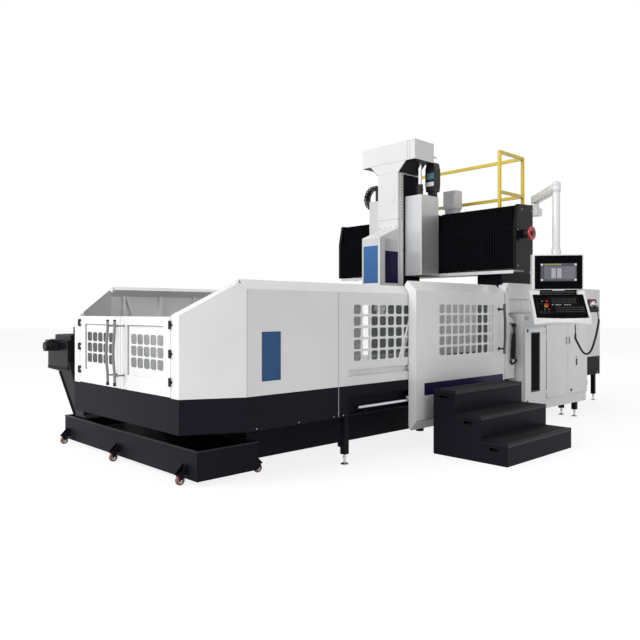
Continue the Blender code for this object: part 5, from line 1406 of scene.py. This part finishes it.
class MACHINE_OT_handwheel(bpy.types.Operator):
    """Dial, ring and stop button of the handwheel, and the ferrules of its cord"""

    bl_idname = "machine.handwheel"
    bl_label = "Handwheel"

    def execute(self, context):
        centre = np.array([0.408, -0.2075, 1.6995])
        out = np.array([0.0, -0.7071, 0.7071])
        up = np.array([0.0, 0.7071, 0.7071])

        def face_part(profile, du=0.0, dv=0.0, sides=36):
            points, faces = upright(0, 0, profile, sides)
            start = centre + np.array([du, 0, 0]) + up * dv
            across = points[:, :1] * np.array([1.0, 0, 0])
            placed = start + across + points[:, 1:2] * up + points[:, 2:3] * out
            return placed, faces

        dial = face_part([(0.043, 0.004), (0.044, 0.0105), (0.044, 0.0165), (0.040, 0.0185),
                          (0.033, 0.0185),
                          (0.031, 0.0225), (0.0315, 0.040), (0.028, 0.0435)], dv=-0.012)
        add("handwheel_dial", on_pendant([dial]), "pendant", satin_aluminium(), True, 0.0008)
        grip = face_part([(0.006, 0.040), (0.007, 0.044), (0.0085, 0.062), (0.006, 0.066)], du=0.019,
                         dv=-0.012, sides=20)
        add("handwheel_crank", on_pendant([grip]), "pendant", black_plastic(), True)
        ticks = []
        for angle in np.linspace(0, 2 * np.pi, 40, endpoint=False):
            ticks.append(face_part([(0.0011, 0.0180), (0.0011, 0.0192)], 0.0375 * math.cos(angle),
                                   -0.012 + 0.0375 * math.sin(angle), 5))
        add("handwheel_ticks", on_pendant(ticks), "pendant",
            key_plastic("dark_marks", (0.02, 0.02, 0.022)))
        stop = face_part([(0.009, 0.004), (0.009, 0.012), (0.014, 0.014), (0.014, 0.020), (0.011, 0.023)],
                         dv=0.068, sides=24)
        add("handwheel_stop", on_pendant([stop]), "pendant",
            key_plastic("red_buttons", (0.50, 0.012, 0.015)))
        small = [face_part([(0.007, 0.004), (0.007, 0.012), (0.006, 0.013)], du, 0.050, 16)
                 for du in (-0.030, 0.030)]
        add("handwheel_selectors", on_pendant(small), "pendant",
            key_plastic("grey_keys", (0.16, 0.16, 0.18)))
        start, end = np.array(CABLE_ROUTE[0]), np.array(CABLE_ROUTE[-1])
        ferrules = [
            upright(start[0], start[1],
                    [(0.0140, 1.2885), (0.0145, 1.293), (0.0125, 1.312), (0.0075, 1.335)], 20),
            upright(end[0], end[1],
                    [(0.0145, 1.4995), (0.0130, 1.5005), (0.0120, 1.508), (0.0075, 1.516)], 20),
        ]
        add("cord_ferrules", on_pendant(ferrules), "pendant", black_plastic())
        rod = upright(start[0], start[1], [(0.0068, 1.33), (0.0068, 1.600)], 16)
        add("cord_gland_rod", on_pendant([rod]), "pendant", black_plastic())
        return {"FINISHED"}


class MACHINE_OT_boom(bpy.types.Operator):
    """Pipe, dome, collars and bolts of the pendant's boom"""

    bl_idname = "machine.boom"
    bl_label = "Boom"

    def execute(self, context):
        x, y = PIPE
        angle = np.linspace(0, math.pi / 2, 9)
        dome = [(0.0565 * math.cos(a), 3.262 + 0.0495 * math.sin(a))
                for a in angle[:-1]] + [(0.004, 3.3118)]
        elbow = [(0.052, 3.176), (0.0568, 3.180), (0.0568, 3.258), (0.0550, 3.259), (0.0550, 3.261)] + dome
        pipe = [(0.0480, 2.4307), (0.0482, 2.434), (0.0482, 3.175), (0.0470, 3.178)]
        add("boom_pipe", [upright(x, y, pipe, 44), upright(x, y, elbow, 44)], "boom",
            white_paint(), True, 0.0)
        collar = [(0.0585, 2.350), (0.0590, 2.356), (0.0590, 2.405), (0.0570, 2.407), (0.0570, 2.411),
                  (0.0590, 2.413),
                  (0.0590, 2.4270), (0.0565, 2.4296)]
        add("pendant_collar", [upright(x, y, collar, 44)], "pendant", white_paint(), True)
        marks = []
        for turn in np.linspace(0, 2 * math.pi, 6, endpoint=False):
            px, py = x + 0.0585 * math.cos(turn), y + 0.0585 * math.sin(turn)
            part = turned("X", (0, 0, 0), [(0.005, -0.002), (0.005, 0.0008), (0.004, 0.0012)], 12)
            marks += turned_about_z([(part[0] + np.array([0.0, 0.0, 2.385]), part[1])], (px, py),
                                    math.degrees(turn))
        add("collar_screws", marks, "pendant", black_plastic())
        px, py = BOOM_PIVOT
        hub = [(0.052, 3.1805), (0.0575, 3.184), (0.0575, 3.284), (0.054, 3.2893)]
        add("boom_hub", [upright(px, py, hub, 44)], "boom", white_paint(), True)
        post = [(0.0570, 3.1195), (0.0570, 3.172), (0.054, 3.1790)]
        base = [upright(px, py, post, 44)]
        base += [bolt("Z", 1, (px + dx, py + dy, 3.105), 0.009, 0.008) for dx in (-0.06, 0.055)
                 for dy in (-0.055, 0.055)]
        add("boom_post", base, "machine", white_paint())
        return {"FINISHED"}


# Cabinets, stairs, tank, conveyor and the far side


def lock_rose(y, z, radius, mouth):
    """Round lock on a cabinet door, drawn in from its rim to its mouth."""
    profile = [(radius - 0.001, LEAF_FACE - 0.001), (radius, LEAF_FACE + 0.004), (mouth, LEAF_FACE + 0.008)]
    return turned("X", (0, y, z), profile, 28)


class MACHINE_OT_cabinets(bpy.types.Operator):
    """Window, locks, handles, slots and hinges of the cabinets and the column cover"""

    bl_idname = "machine.cabinets"
    bl_label = "Cabinets"

    def execute(self, context):
        add("small_cabinet_window",
            [side_plate(-0.260, 0.512, -0.040, 1.308, LEAF_FACE - 0.006, 0.002, 0.006)],
            "small_cabinet_door", panel_film())
        frame_parts = [side_plate(*edge, LEAF_FACE, 0.003, 0.004) for edge in (
            (-0.274, 0.498, -0.260, 1.322), (-0.040, 0.498, -0.026, 1.322),
            (-0.262, 0.498, -0.038, 0.511), (-0.262, 1.309, -0.038, 1.322),
        )]
        add("small_cabinet_seal", frame_parts, "small_cabinet_door", black_plastic())
        lock = [lock_rose(-0.367, 1.346, 0.024, 0.016), lock_rose(-0.372, 0.375, 0.020, 0.014),
                side_plate(-0.369, 1.336, -0.365, 1.356, LEAF_FACE + 0.008, 0.001, 0.001)]
        add("small_cabinet_lock", lock, "small_cabinet_door", black_plastic())
        label = [side_plate(-0.400, 1.490, -0.290, 1.545, CABINET_FACE, 0.0012, 0.003)]
        add("small_cabinet_label", label, "machine", light_grey_paint())
        top = [side_plate(-0.430, 1.395, 0.152, 1.575, CABINET_FACE, 0.0010, 0.003)]
        add("small_cabinet_band", top, "machine",
            key_plastic("pale_blue_grey", (0.56, 0.585, 0.61)))
        for side, word, hinge in ((-1, "left", 0.177), (1, "right", 1.475)):
            y = 0.826 + side * 0.050
            # A dark plate round each grip: painted shadow of the grip on the door.
            shadow_plate = [side_plate(y - 0.012, 1.124, y + 0.012, 1.233, LEAF_FACE, 0.003, 0.004)]
            add("cabinet_grip_seat_" + word, shadow_plate, "main_cabinet_door_" + word, dark_grey_paint())
            grip = [slab((LEAF_FACE + 0.001, y - 0.007, 1.132),
                         (LEAF_FACE + 0.018, y + 0.007, 1.225), 0.005)]
            add("cabinet_grip_" + word, grip, "main_cabinet_door_" + word, satin_aluminium())
            rims = [
                side_plate(min(hinge, y), 0.376, max(hinge, y), 0.380, LEAF_FACE, 0.0008, 0.001),
                side_plate(min(hinge, y), 1.418, max(hinge, y), 1.422, LEAF_FACE, 0.0008, 0.001),
            ]
            add("cabinet_fold_" + word, rims, "main_cabinet_door_" + word, light_grey_paint())
        slot = [side_plate(1.088, 0.795, 1.128, 0.900, LEAF_FACE, 0.005, 0.008),
                side_plate(1.080, 0.925, 1.136, 0.933, LEAF_FACE, 0.003, 0.003),
                lock_rose(0.930, 0.434, 0.024, 0.016)]
        add("cabinet_slot_and_lock", slot, "main_cabinet_door_right", black_plastic())
        hinges = []
        for y, low, high in ((0.154, 0.46, 1.24), (0.171, 0.51, 1.29), (1.481, 0.51, 1.29)):
            for z in (low, high):
                hinges.append(upright(1.606, y, [(0.0060, z - 0.037), (0.0064, z - 0.035),
                                                          (0.0064, z + 0.035), (0.0060, z + 0.037)], 16))
        add("cabinet_hinge_pins", hinges, "machine", turned_steel())
        heights = [*np.linspace(0.45, 0.75, 9), *np.linspace(1.05, 1.25, 6)]
        vents = [plate("Y", 1, 1.487, z, 1.30, z + 0.012, 1.53, 0.003, 0.004) for z in heights]
        add("cabinet_vents", vents, "machine", dark_grey_paint())
        seam = [side_plate(-0.180, 1.595, -0.176, 1.782, COVER_FACE, 0.0012, 0.001),
                side_plate(-0.610, 1.779, 0.098, 1.786, COVER_FACE, 0.0030, 0.002),
                side_plate(-0.608, 1.600, -0.560, 1.780, COVER_FACE, 0.0012, 0.002)]
        add("column_cover_seams", seam, "machine", light_grey_paint())
        screws = heads("X", 1, 1.450, (-0.59, 0.07), (1.815, 1.97))
        screws += heads("X", 1, TRIM_FACE, (-0.685, -0.475), (0.87, 1.42))
        add("cover_screws", screws, "machine", satin_aluminium())
        return {"FINISHED"}


class MACHINE_OT_air_gun(bpy.types.Operator):
    """Blow gun in its clip on the end trim, with its hose held down the panel"""

    bl_idname = "machine.air_gun"
    bl_label = "Air gun"

    def execute(self, context):
        face, coils = TRIM_FACE, 14

        def path(steps, *places):
            return smooth_path([(face + out, y, z) for out, y, z in places], steps)

        handle = path(6, (0.020, -0.520, 1.430), (0.022, -0.522, 1.400), (0.026, -0.530, 1.360),
                      (0.028, -0.540, 1.320))
        body = path(5, (0.020, -0.545, 1.432), (0.020, -0.520, 1.436), (0.020, -0.490, 1.430),
                    (0.020, -0.470, 1.420))
        nozzle = path(5, (0.020, -0.545, 1.432), (0.020, -0.585, 1.445), (0.020, -0.620, 1.440))
        lever = path(5, (0.034, -0.500, 1.425), (0.040, -0.505, 1.390), (0.042, -0.515, 1.345))
        gun = [tube(handle, 0.013, 14), tube(body, 0.016, 14), tube(nozzle, 0.006, 12),
               tube(lever, 0.004, 8)]
        add("blow_gun", gun, "machine", black_plastic(), True)
        turns = np.linspace(0, 1, coils * 16 + 1)
        swing = 2 * np.pi * coils * turns
        wide = 0.020 + 0.010 * turns
        hose = np.stack([face + 0.036 + wide * np.cos(swing), -0.548 + wide * np.sin(swing) - 0.012 * turns,
                         1.315 - 0.345 * turns], -1)
        rest = ((0.034, -0.530, 0.915), (0.026, -0.560, 0.898), (0.020, -0.590, 0.925),
                (0.014, -0.590, 0.965))
        bend = hose[-1] + np.array([0.010, 0.012, -0.022])
        loop = smooth_path([hose[-1], bend, *((face + out, y, z) for out, y, z in rest)], 5)
        add("blow_gun_hose", [tube(hose, 0.0095, 8), tube(loop, 0.0125, 12)], "machine",
            hose_rubber(), True)
        clips = [slab((face - 0.001, -0.558, z - 0.006), (face + 0.018, -0.544, z + 0.006), 0.003)
                 for z in (1.19, 1.04)]
        clips.append(slab((face - 0.001, -0.552, 1.405), (face + 0.014, -0.495, 1.450), 0.004))
        add("blow_gun_clips", clips, "machine", black_plastic())
        return {"FINISHED"}


# Nose, height and back of each tread
STAIR_TREADS = ((2.569, 0.236, 2.251), (2.251, 0.482, 1.928), (1.928, 0.732, 1.634))


class MACHINE_OT_stairs(bpy.types.Operator):
    """Studded mats, edge trims, folds and hand hole rims of the stairs"""

    bl_idname = "machine.stairs"
    bl_label = "Stairs"

    def execute(self, context):
        mats, trims, lines = [], [], []
        for nose, height, back in STAIR_TREADS:
            mats.append(plate("Z", 1, height, back + 0.015, -2.517, nose - 0.035, -1.12, 0.0035, 0.008))
            trims.append(plate("Z", 1, height, nose - 0.026, -2.532, nose - 0.006, -1.105, 0.0030, 0.002))
            trims.append(side_plate(-2.532, height - 0.036, -1.105, height - 0.006, nose, 0.0025, 0.002))
            lines.append(plate("Y", -1, -2.537, height - 0.018, back + 0.010, height - 0.014,
                               nose - 0.008, 0.0006, 0.001))
        add("stair_mats", mats, "machine", anti_slip())
        add("stair_trims", trims, "machine", dark_grey_paint())
        add("stair_folds", lines, "machine", dark_grey_paint())
        rims = []
        for nose, height, back in STAIR_TREADS:
            x, z = nose - 0.16, height - 0.079
            outer = rounded(z - 0.0215, x - 0.0605, z + 0.0215, x + 0.0605, 0.0185, 6)
            inner = rounded(z - 0.0195, x - 0.0585, z + 0.0195, x + 0.0585, 0.0165, 6)
            stack = np.stack([along("Y", ring, depth) for ring, depth in (
                (inner, -2.540), (outer, -2.540), (outer, -2.530), (inner, -2.530))])
            rims.append(hoop(stack))
        add("hand_hole_rims", rims, "machine", black_plastic())
        return {"FINISHED"}


# Low and high X, then low and high Y of the tank
TANK = (-1.92, 1.03, -5.28, -4.58)


def caster(x, y, outward):
    """Fork, axle and tyre of one small wheel; the tyre's section is a flattened ring."""
    wheel_y = y + outward * 0.062
    tyre = turned("X", (0, wheel_y, 0.045), [(0.036, x - 0.0215), (0.043, x - 0.0195), (0.0458, x - 0.013),
                                             (0.0458, x + 0.005), (0.043, x + 0.0115),
                                             (0.036, x + 0.0135)], 32)
    hubs = turned("X", (0, wheel_y, 0.045),
                  [(0.022, x - 0.0245), (0.024, x - 0.023), (0.024, x + 0.015), (0.022, x + 0.0165)], 20)
    fork = []
    for left, right in ((x - 0.030, x - 0.0255), (x + 0.0175, x + 0.022)):
        outline = [(wheel_y - 0.016, 0.033), (wheel_y + 0.016, 0.033), (wheel_y + 0.026, 0.092),
                   (wheel_y - 0.026, 0.092)]
        fork.append(prism("X", outline, left, right, 0.0008))
    fork.append(slab((x - 0.045, min(y - outward * 0.002, y + outward * 0.098), 0.092),
                     (x + 0.035, max(y - outward * 0.002, y + outward * 0.098), 0.101), 0.004))
    axle = turned("X", (0, wheel_y, 0.045),
                  [(0.008, x - 0.034), (0.0085, x - 0.032), (0.0085, x + 0.025), (0.008, x + 0.027)], 6)
    return [tyre], [hubs, axle], fork


class MACHINE_OT_tank(bpy.types.Operator):
    """Walls, a rim painted lighter as a highlight along the top edge, partitions, strainer and casters of
    the coolant tank
    """

    bl_idname = "machine.tank"
    bl_label = "Coolant tank"

    def execute(self, context):
        x0, x1, y0, y1 = TANK
        low, high, sheet = 0.05, 0.33, 0.004
        walls = [slab((x0, y0, low), (x1, y1, low + 0.006), 0.002)]
        for left, front, right, back in ((x0, y0, x1, y0 + sheet), (x0, y1 - sheet, x1, y1),
                                         (x0, y0, x0 + sheet, y1), (x1 - sheet, y0, x1, y1)):
            walls.append(slab((left, front, low), (right, back, high), 0.0015))
        for x in (-1.30, 0.35):
            walls.append(slab((x, y0 + 0.003, low + 0.003), (x + 0.004, y1 - 0.003, high - 0.03), 0.0015))
        walls.append(slab((-1.295, -4.78, low + 0.003), (x1 - 0.003, -4.776, high - 0.05), 0.0015))
        add("tank_walls", walls, "machine", black_paint())
        # The rim's lighter grey is a painted highlight along the tank's top edge.
        rim = [slab((left, front, high - 0.012), (right, back, high + 0.002), 0.003)
               for left, front, right, back in (
            (x0 - 0.004, y0 - 0.004, x1 + 0.004, y0 + 0.022),
            (x0 - 0.004, y1 - 0.022, x1 + 0.004, y1 + 0.004),
            (x0 - 0.004, y0 + 0.018, x0 + 0.022, y1 - 0.018),
            (x1 - 0.022, y0 + 0.018, x1 + 0.004, y1 - 0.018),
        )]
        add("tank_rim", rim, "machine", dark_grey_paint())
        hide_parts("coolant_tank")
        tyres, hubs, forks = [], [], []
        for y, outward, places in ((y0, -1, (0.84, -0.497, -1.792)), (y1, 1, (0.95, -0.95, -1.792))):
            for x in places:
                tyre, hub, fork = caster(x, y, outward)
                tyres, hubs, forks = tyres + tyre, hubs + hub, forks + fork
                start, end = sorted((y - outward * 0.002, y + outward * 0.004))
                outline = [(0.19, x - 0.05), (0.19, x + 0.035), (0.09, x + 0.035), (0.07, x - 0.05)]
                forks.append(prism("Y", outline, start, end, 0.0008))
                gusset = [(y - outward * 0.002, 0.185), (y + outward * 0.012, 0.185),
                          (y + outward * 0.097, 0.100),
                          (y + outward * 0.097, 0.094), (y - outward * 0.002, 0.094)]
                forks.append(prism("X", gusset, x - 0.047, x - 0.042, 0.0008))
                forks.append(prism("X", gusset, x + 0.028, x + 0.033, 0.0008))
        add("caster_tyres", tyres, "machine", wheel_tyre(), False)
        add("caster_hubs", hubs, "machine", turned_steel(), False)
        add("caster_forks", forks, "machine", black_paint(), False)
        grate = []
        for x in np.linspace(-1.26, 0.32, 42):
            grate.append(slab((x, y0 + 0.006, high - 0.075), (x + 0.012, -4.782, high - 0.070), 0.001))
        grate.append(slab((-1.29, y0 + 0.004, high - 0.085), (0.35, y0 + 0.020, high - 0.074), 0.002))
        grate.append(slab((-1.29, -4.797, high - 0.085), (0.35, -4.781, high - 0.074), 0.002))
        add("tank_grate", grate, "machine", dark_grey_paint())
        return {"FINISHED"}


class MACHINE_OT_conveyor(bpy.types.Operator):
    """Side flanges, bolts, lid ribs and motor of the chip conveyor"""

    bl_idname = "machine.conveyor"
    bl_label = "Chip conveyor"

    def execute(self, context):
        y0, y1 = -5.24, -4.72
        rails = []
        for y, out in ((y0, -1), (y1, 1)):
            near, far = sorted((y - out * 0.002, y + out * 0.012))
            upper = [(0.372, -1.452), (0.392, -1.440), (1.000, -1.885), (0.972, -1.912)]
            lower = [(0.360, -1.724), (0.342, -1.738), (0.842, -2.192), (0.862, -2.178)]
            rails.append(prism("Y", upper, near, far, 0.001))
            rails.append(prism("Y", lower, near, far, 0.001))
            rails.append(slab((-2.55, near, 0.880), (-1.905, far, 0.905), 0.002))
            rails.append(slab((-2.50, near, 1.215), (-1.905, far, 1.240), 0.002))
            rails.append(slab((-1.925, near, 0.90), (-1.905, far, 1.240), 0.002))
        add("conveyor_flanges", rails, "machine", black_paint())
        places = []
        for t in np.linspace(0.06, 0.94, 9):
            x, z = -1.446 - 0.452 * t, 0.383 + 0.606 * t
            places.append((x, z))
        places += [(x, 1.2275) for x in np.linspace(-2.47, -1.95, 6)]
        bolts = [bolt("Y", out, (x, y, z), 0.006, 0.004) for x, z in places
                 for out, y in ((-1, y0 - 0.012), (1, y1 + 0.012))]
        add("conveyor_bolts", bolts, "machine", dark_grey_paint())
        lid = [plate("Z", 1, 1.315, x, -5.19, x + 0.020, -4.77, 0.005, 0.003)
               for x in (-2.38, -2.20, -2.02)]
        lid += [plate("X", -1, -2.57, -5.20, 0.90, -4.76, 1.16, 0.004, 0.010)]
        add("conveyor_lid_ribs", lid, "machine", dark_grey_paint())
        fins = [(0.060, -5.378), (0.061, -5.374)]
        for y in np.linspace(-5.368, -5.262, 12):
            fins += [(0.0605, y), (0.0605, y + 0.0035), (0.0575, y + 0.0045), (0.0575, y + 0.0085)]
        fins += [(0.0605, -5.250), (0.0605, -5.241)]
        motor = [turned("Y", (-2.33, 0, 1.165), fins, 36),
                 turned("Y", (-2.33, 0, 1.165),
                        [(0.040, -5.3815), (0.050, -5.380), (0.050, -5.3775), (0.040, -5.3770)], 24)]
        add("conveyor_motor", motor, "machine", dark_grey_paint())
        box = [slab((-2.375, -5.350, 1.205), (-2.285, -5.270, 1.252), 0.005)]
        add("conveyor_motor_box", box, "machine", black_plastic())
        return {"FINISHED"}


class MACHINE_OT_far_side(bpy.types.Operator):
    """Access covers, louvres, seams and lifting eyes of the sides that the photograph doesn't show"""

    bl_idname = "machine.far_side"
    bl_label = "Far side and rear"

    def execute(self, context):
        covers = []
        for y0, y1 in ((-3.6, -2.7), (-2.4, -1.5)):
            covers.append(plate("X", -1, -WALL, y0, 1.02, y1, 1.68, 0.004, 0.020))
        covers.append(plate("Y", 1, REAR_FACE, 1.05, -0.62, 1.80, -0.08, 0.004, 0.020))
        covers.append(plate("Y", 1, REAR_FACE, 1.05, 0.08, 1.80, 0.62, 0.004, 0.020))
        for sign in (-1, 1):
            covers.append(plate("X", sign, sign * REAR_SIDE, 1.65, 1.02, 2.75, 1.78, 0.004, 0.020))
        add("access_covers", covers, "machine", white_paint())
        screws = heads("X", -1, -WALL - 0.004, (-3.56, -2.74, -2.36, -1.54), (1.06, 1.64), 0.008)
        screws += heads("Y", 1, REAR_FACE + 0.004, (-0.58, -0.12, 0.12, 0.58), (1.09, 1.76), 0.008)
        for sign in (-1, 1):
            screws += heads("X", sign, sign * (REAR_SIDE + 0.004), (1.69, 2.71), (1.06, 1.74), 0.008)
        add("access_screws", screws, "machine", satin_aluminium())
        louvres = []
        for z in np.linspace(1.56, 1.72, 7):
            for x in (-0.35, 0.35):
                louvres.append(plate("Y", 1, 3.554, z, x - 0.16, z + 0.012, x + 0.16, 0.006, 0.004))
        add("rear_louvres", louvres, "machine", light_grey_paint())
        grips = []
        for x in (-0.35, 0.35):
            path = smooth_path([(x - 0.06, 3.553, 1.20), (x - 0.06, 3.585, 1.20), (x - 0.045, 3.600, 1.20),
                                (x + 0.045, 3.600, 1.20), (x + 0.06, 3.585, 1.20),
                                (x + 0.06, 3.553, 1.20)], 4)
            grips.append(tube(path, 0.007, 12))
        for y in (-3.15, -1.95):
            path = smooth_path([(-1.369, y - 0.06, 1.20), (-1.400, y - 0.06, 1.20),
                                (-1.415, y - 0.045, 1.20),
                                (-1.415, y + 0.045, 1.20), (-1.400, y + 0.06, 1.20),
                                (-1.369, y + 0.06, 1.20)], 4)
            grips.append(tube(path, 0.007, 12))
        add("access_grips", grips, "machine", black_plastic(), True)
        seams = [plate("X", -1, -WALL, y, 0.832, y + 0.003, 1.812, 0.0006, 0.001) for y in (-3.79, -2.55)]
        seams += [plate("X", sign, sign * REAR_SIDE, 1.45, 0.832, 1.453, 1.998, 0.0006, 0.001)
                  for sign in (-1, 1)]
        add("far_seams", seams, "machine", light_grey_paint())
        eyes = []
        for x in (-1.05, 1.05):
            for y in (-0.36, 0.28):
                angle = np.linspace(0, 2 * np.pi, 21)
                ring = np.stack([x + 0.024 * np.cos(angle), np.full(21, y),
                                 3.044 + 0.024 * np.sin(angle)], -1)
                eyes.append(tube(ring, 0.007, 10))
                eyes.append(upright(x, y,
                                    [(0.020, 2.9995), (0.021, 3.004), (0.012, 3.012), (0.009, 3.022)], 20))
        add("lifting_eyes", eyes, "machine", black_paint(), True)
        return {"FINISHED"}


# Stage

CAMERA_PLACE = (6.097, -8.568, 1.6)
CAMERA_AZIMUTH = 46.361
CAMERA_LENS = 36.69
CAMERA_SHIFT = -0.01203
AIM = (0, -1.5, 1.2)
FLOOR_HALF = 60
WORLD_LIGHT = 0.50
# Name, place, size and power of each lamp
LAMPS = (
    ("front", (-0.5, -15.0, 9.0), 8.0, 1600),
    ("side", (11.0, -3.0, 6.0), 6.0, 150),
    ("rear", (-6.0, 11.0, 9.0), 7.0, 300),
)


def backdrop_rays(finish):
    """1 for what the camera, a gloss or a pane sees directly, 0 for the light that falls on the object."""
    seen = [finish.node("ShaderNodeLightPath", output=name)
            for name in ("Is Camera Ray", "Is Glossy Ray", "Is Transmission Ray")]
    return seen[0].math("MAXIMUM", seen[1]).math("MAXIMUM", seen[2])


class MACHINE_OT_stage(bpy.types.Operator):
    """Floor, soft lights and the camera of the photograph"""

    bl_idname = "machine.stage"
    bl_label = "Stage"

    def execute(self, context):
        camera = bpy.data.cameras.new("camera")
        camera.lens, camera.sensor_width, camera.shift_y = CAMERA_LENS, 36.0, CAMERA_SHIFT
        camera.clip_end = 200
        item = bpy.data.objects.new("camera", camera)
        item.location = CAMERA_PLACE
        item.rotation_euler = (math.radians(90), 0, math.radians(CAMERA_AZIMUTH))
        context.scene.collection.objects.link(item)
        context.scene.camera = item
        floor = Finish("floor_white", (0.90, 0.90, 0.90), 0.7)
        direct = backdrop_rays(floor)
        glow = floor.node("ShaderNodeEmission", inputs={"Color": (1, 1, 1, 1), "Strength": 1.06})
        paint = Sock(floor, floor.shader.outputs[0])
        mixed = floor.node("ShaderNodeMixShader", inputs={0: direct * 0.80, 1: paint, 2: glow})
        floor.links.new(mixed.socket, floor.nodes["Material Output"].inputs["Surface"])
        corners = [(x * FLOOR_HALF, y * FLOOR_HALF, 0) for x, y in ((-1, -1), (1, -1), (1, 1), (-1, 1))]
        ground = mesh_piece("floor", corners, [(0, 1, 2, 3)])
        ground.data.materials.append(floor.material)
        world = bpy.data.worlds.new("studio")
        world.use_nodes = True
        sky = Finish.__new__(Finish)
        sky.nodes, sky.links = world.node_tree.nodes, world.node_tree.links
        strength = backdrop_rays(sky) * (1.0 - WORLD_LIGHT) + WORLD_LIGHT
        background = sky.nodes["Background"]
        background.inputs["Color"].default_value = (1, 1, 1, 1)
        sky.links.new(strength.socket, background.inputs["Strength"])
        context.scene.world = world
        context.scene.view_settings.view_transform = "Standard"
        for name, place, size, power in LAMPS:
            light = bpy.data.lights.new(name, "AREA")
            light.size, light.energy = size, power
            lamp = bpy.data.objects.new(name, light)
            lamp.location = place
            lamp.rotation_euler = (Vector(AIM) - Vector(place)).to_track_quat("-Z", "Y").to_euler()
            context.scene.collection.objects.link(lamp)
        return {"FINISHED"}


# Add-on


class MACHINE_PT_panel(bpy.types.Panel):
    """Lists the steps that dress the machine"""

    bl_label = "Gantry machining center"
    bl_space_type = "VIEW_3D"
    bl_region_type = "UI"
    bl_category = "Machine"

    def draw(self, context):
        for group in (context.scene.machine_colours, context.scene.machine_sizes):
            for name in group.__annotations__:
                self.layout.prop(group, name)
        for step in STEPS:
            self.layout.operator(step.bl_idname)


STEPS = [
    MACHINE_OT_stage, MACHINE_OT_shells, MACHINE_OT_cord, MACHINE_OT_front_doors, MACHINE_OT_side,
    MACHINE_OT_side_door, MACHINE_OT_bellows, MACHINE_OT_beam, MACHINE_OT_saddle, MACHINE_OT_ram,
    MACHINE_OT_head_cover, MACHINE_OT_monitor, MACHINE_OT_key_deck, MACHINE_OT_handwheel, MACHINE_OT_boom,
    MACHINE_OT_cabinets, MACHINE_OT_air_gun, MACHINE_OT_stairs, MACHINE_OT_tank, MACHINE_OT_conveyor,
    MACHINE_OT_far_side,
]
CLASSES = [MACHINE_PG_colours, MACHINE_PG_sizes, *STEPS, MACHINE_PT_panel]


def register():
    for item in CLASSES:
        bpy.utils.register_class(item)
    bpy.types.Scene.machine_colours = bpy.props.PointerProperty(type=MACHINE_PG_colours)
    bpy.types.Scene.machine_sizes = bpy.props.PointerProperty(type=MACHINE_PG_sizes)


def unregister():
    del bpy.types.Scene.machine_sizes
    del bpy.types.Scene.machine_colours
    for item in reversed(CLASSES):
        bpy.utils.unregister_class(item)


def main():
    register()
    bpy.ops.machine.stage()
    bpy.ops.machine.shells()
    bpy.ops.machine.cord()
    bpy.ops.machine.front_doors()
    bpy.ops.machine.side()
    bpy.ops.machine.side_door()
    bpy.ops.machine.bellows()
    bpy.ops.machine.beam()
    bpy.ops.machine.saddle()
    bpy.ops.machine.ram()
    bpy.ops.machine.head_cover()
    bpy.ops.machine.monitor()
    bpy.ops.machine.key_deck()
    bpy.ops.machine.handwheel()
    bpy.ops.machine.boom()
    bpy.ops.machine.cabinets()
    bpy.ops.machine.air_gun()
    bpy.ops.machine.stairs()
    bpy.ops.machine.tank()
    bpy.ops.machine.conveyor()
    bpy.ops.machine.far_side()


if __name__ == "__main__":
    main()
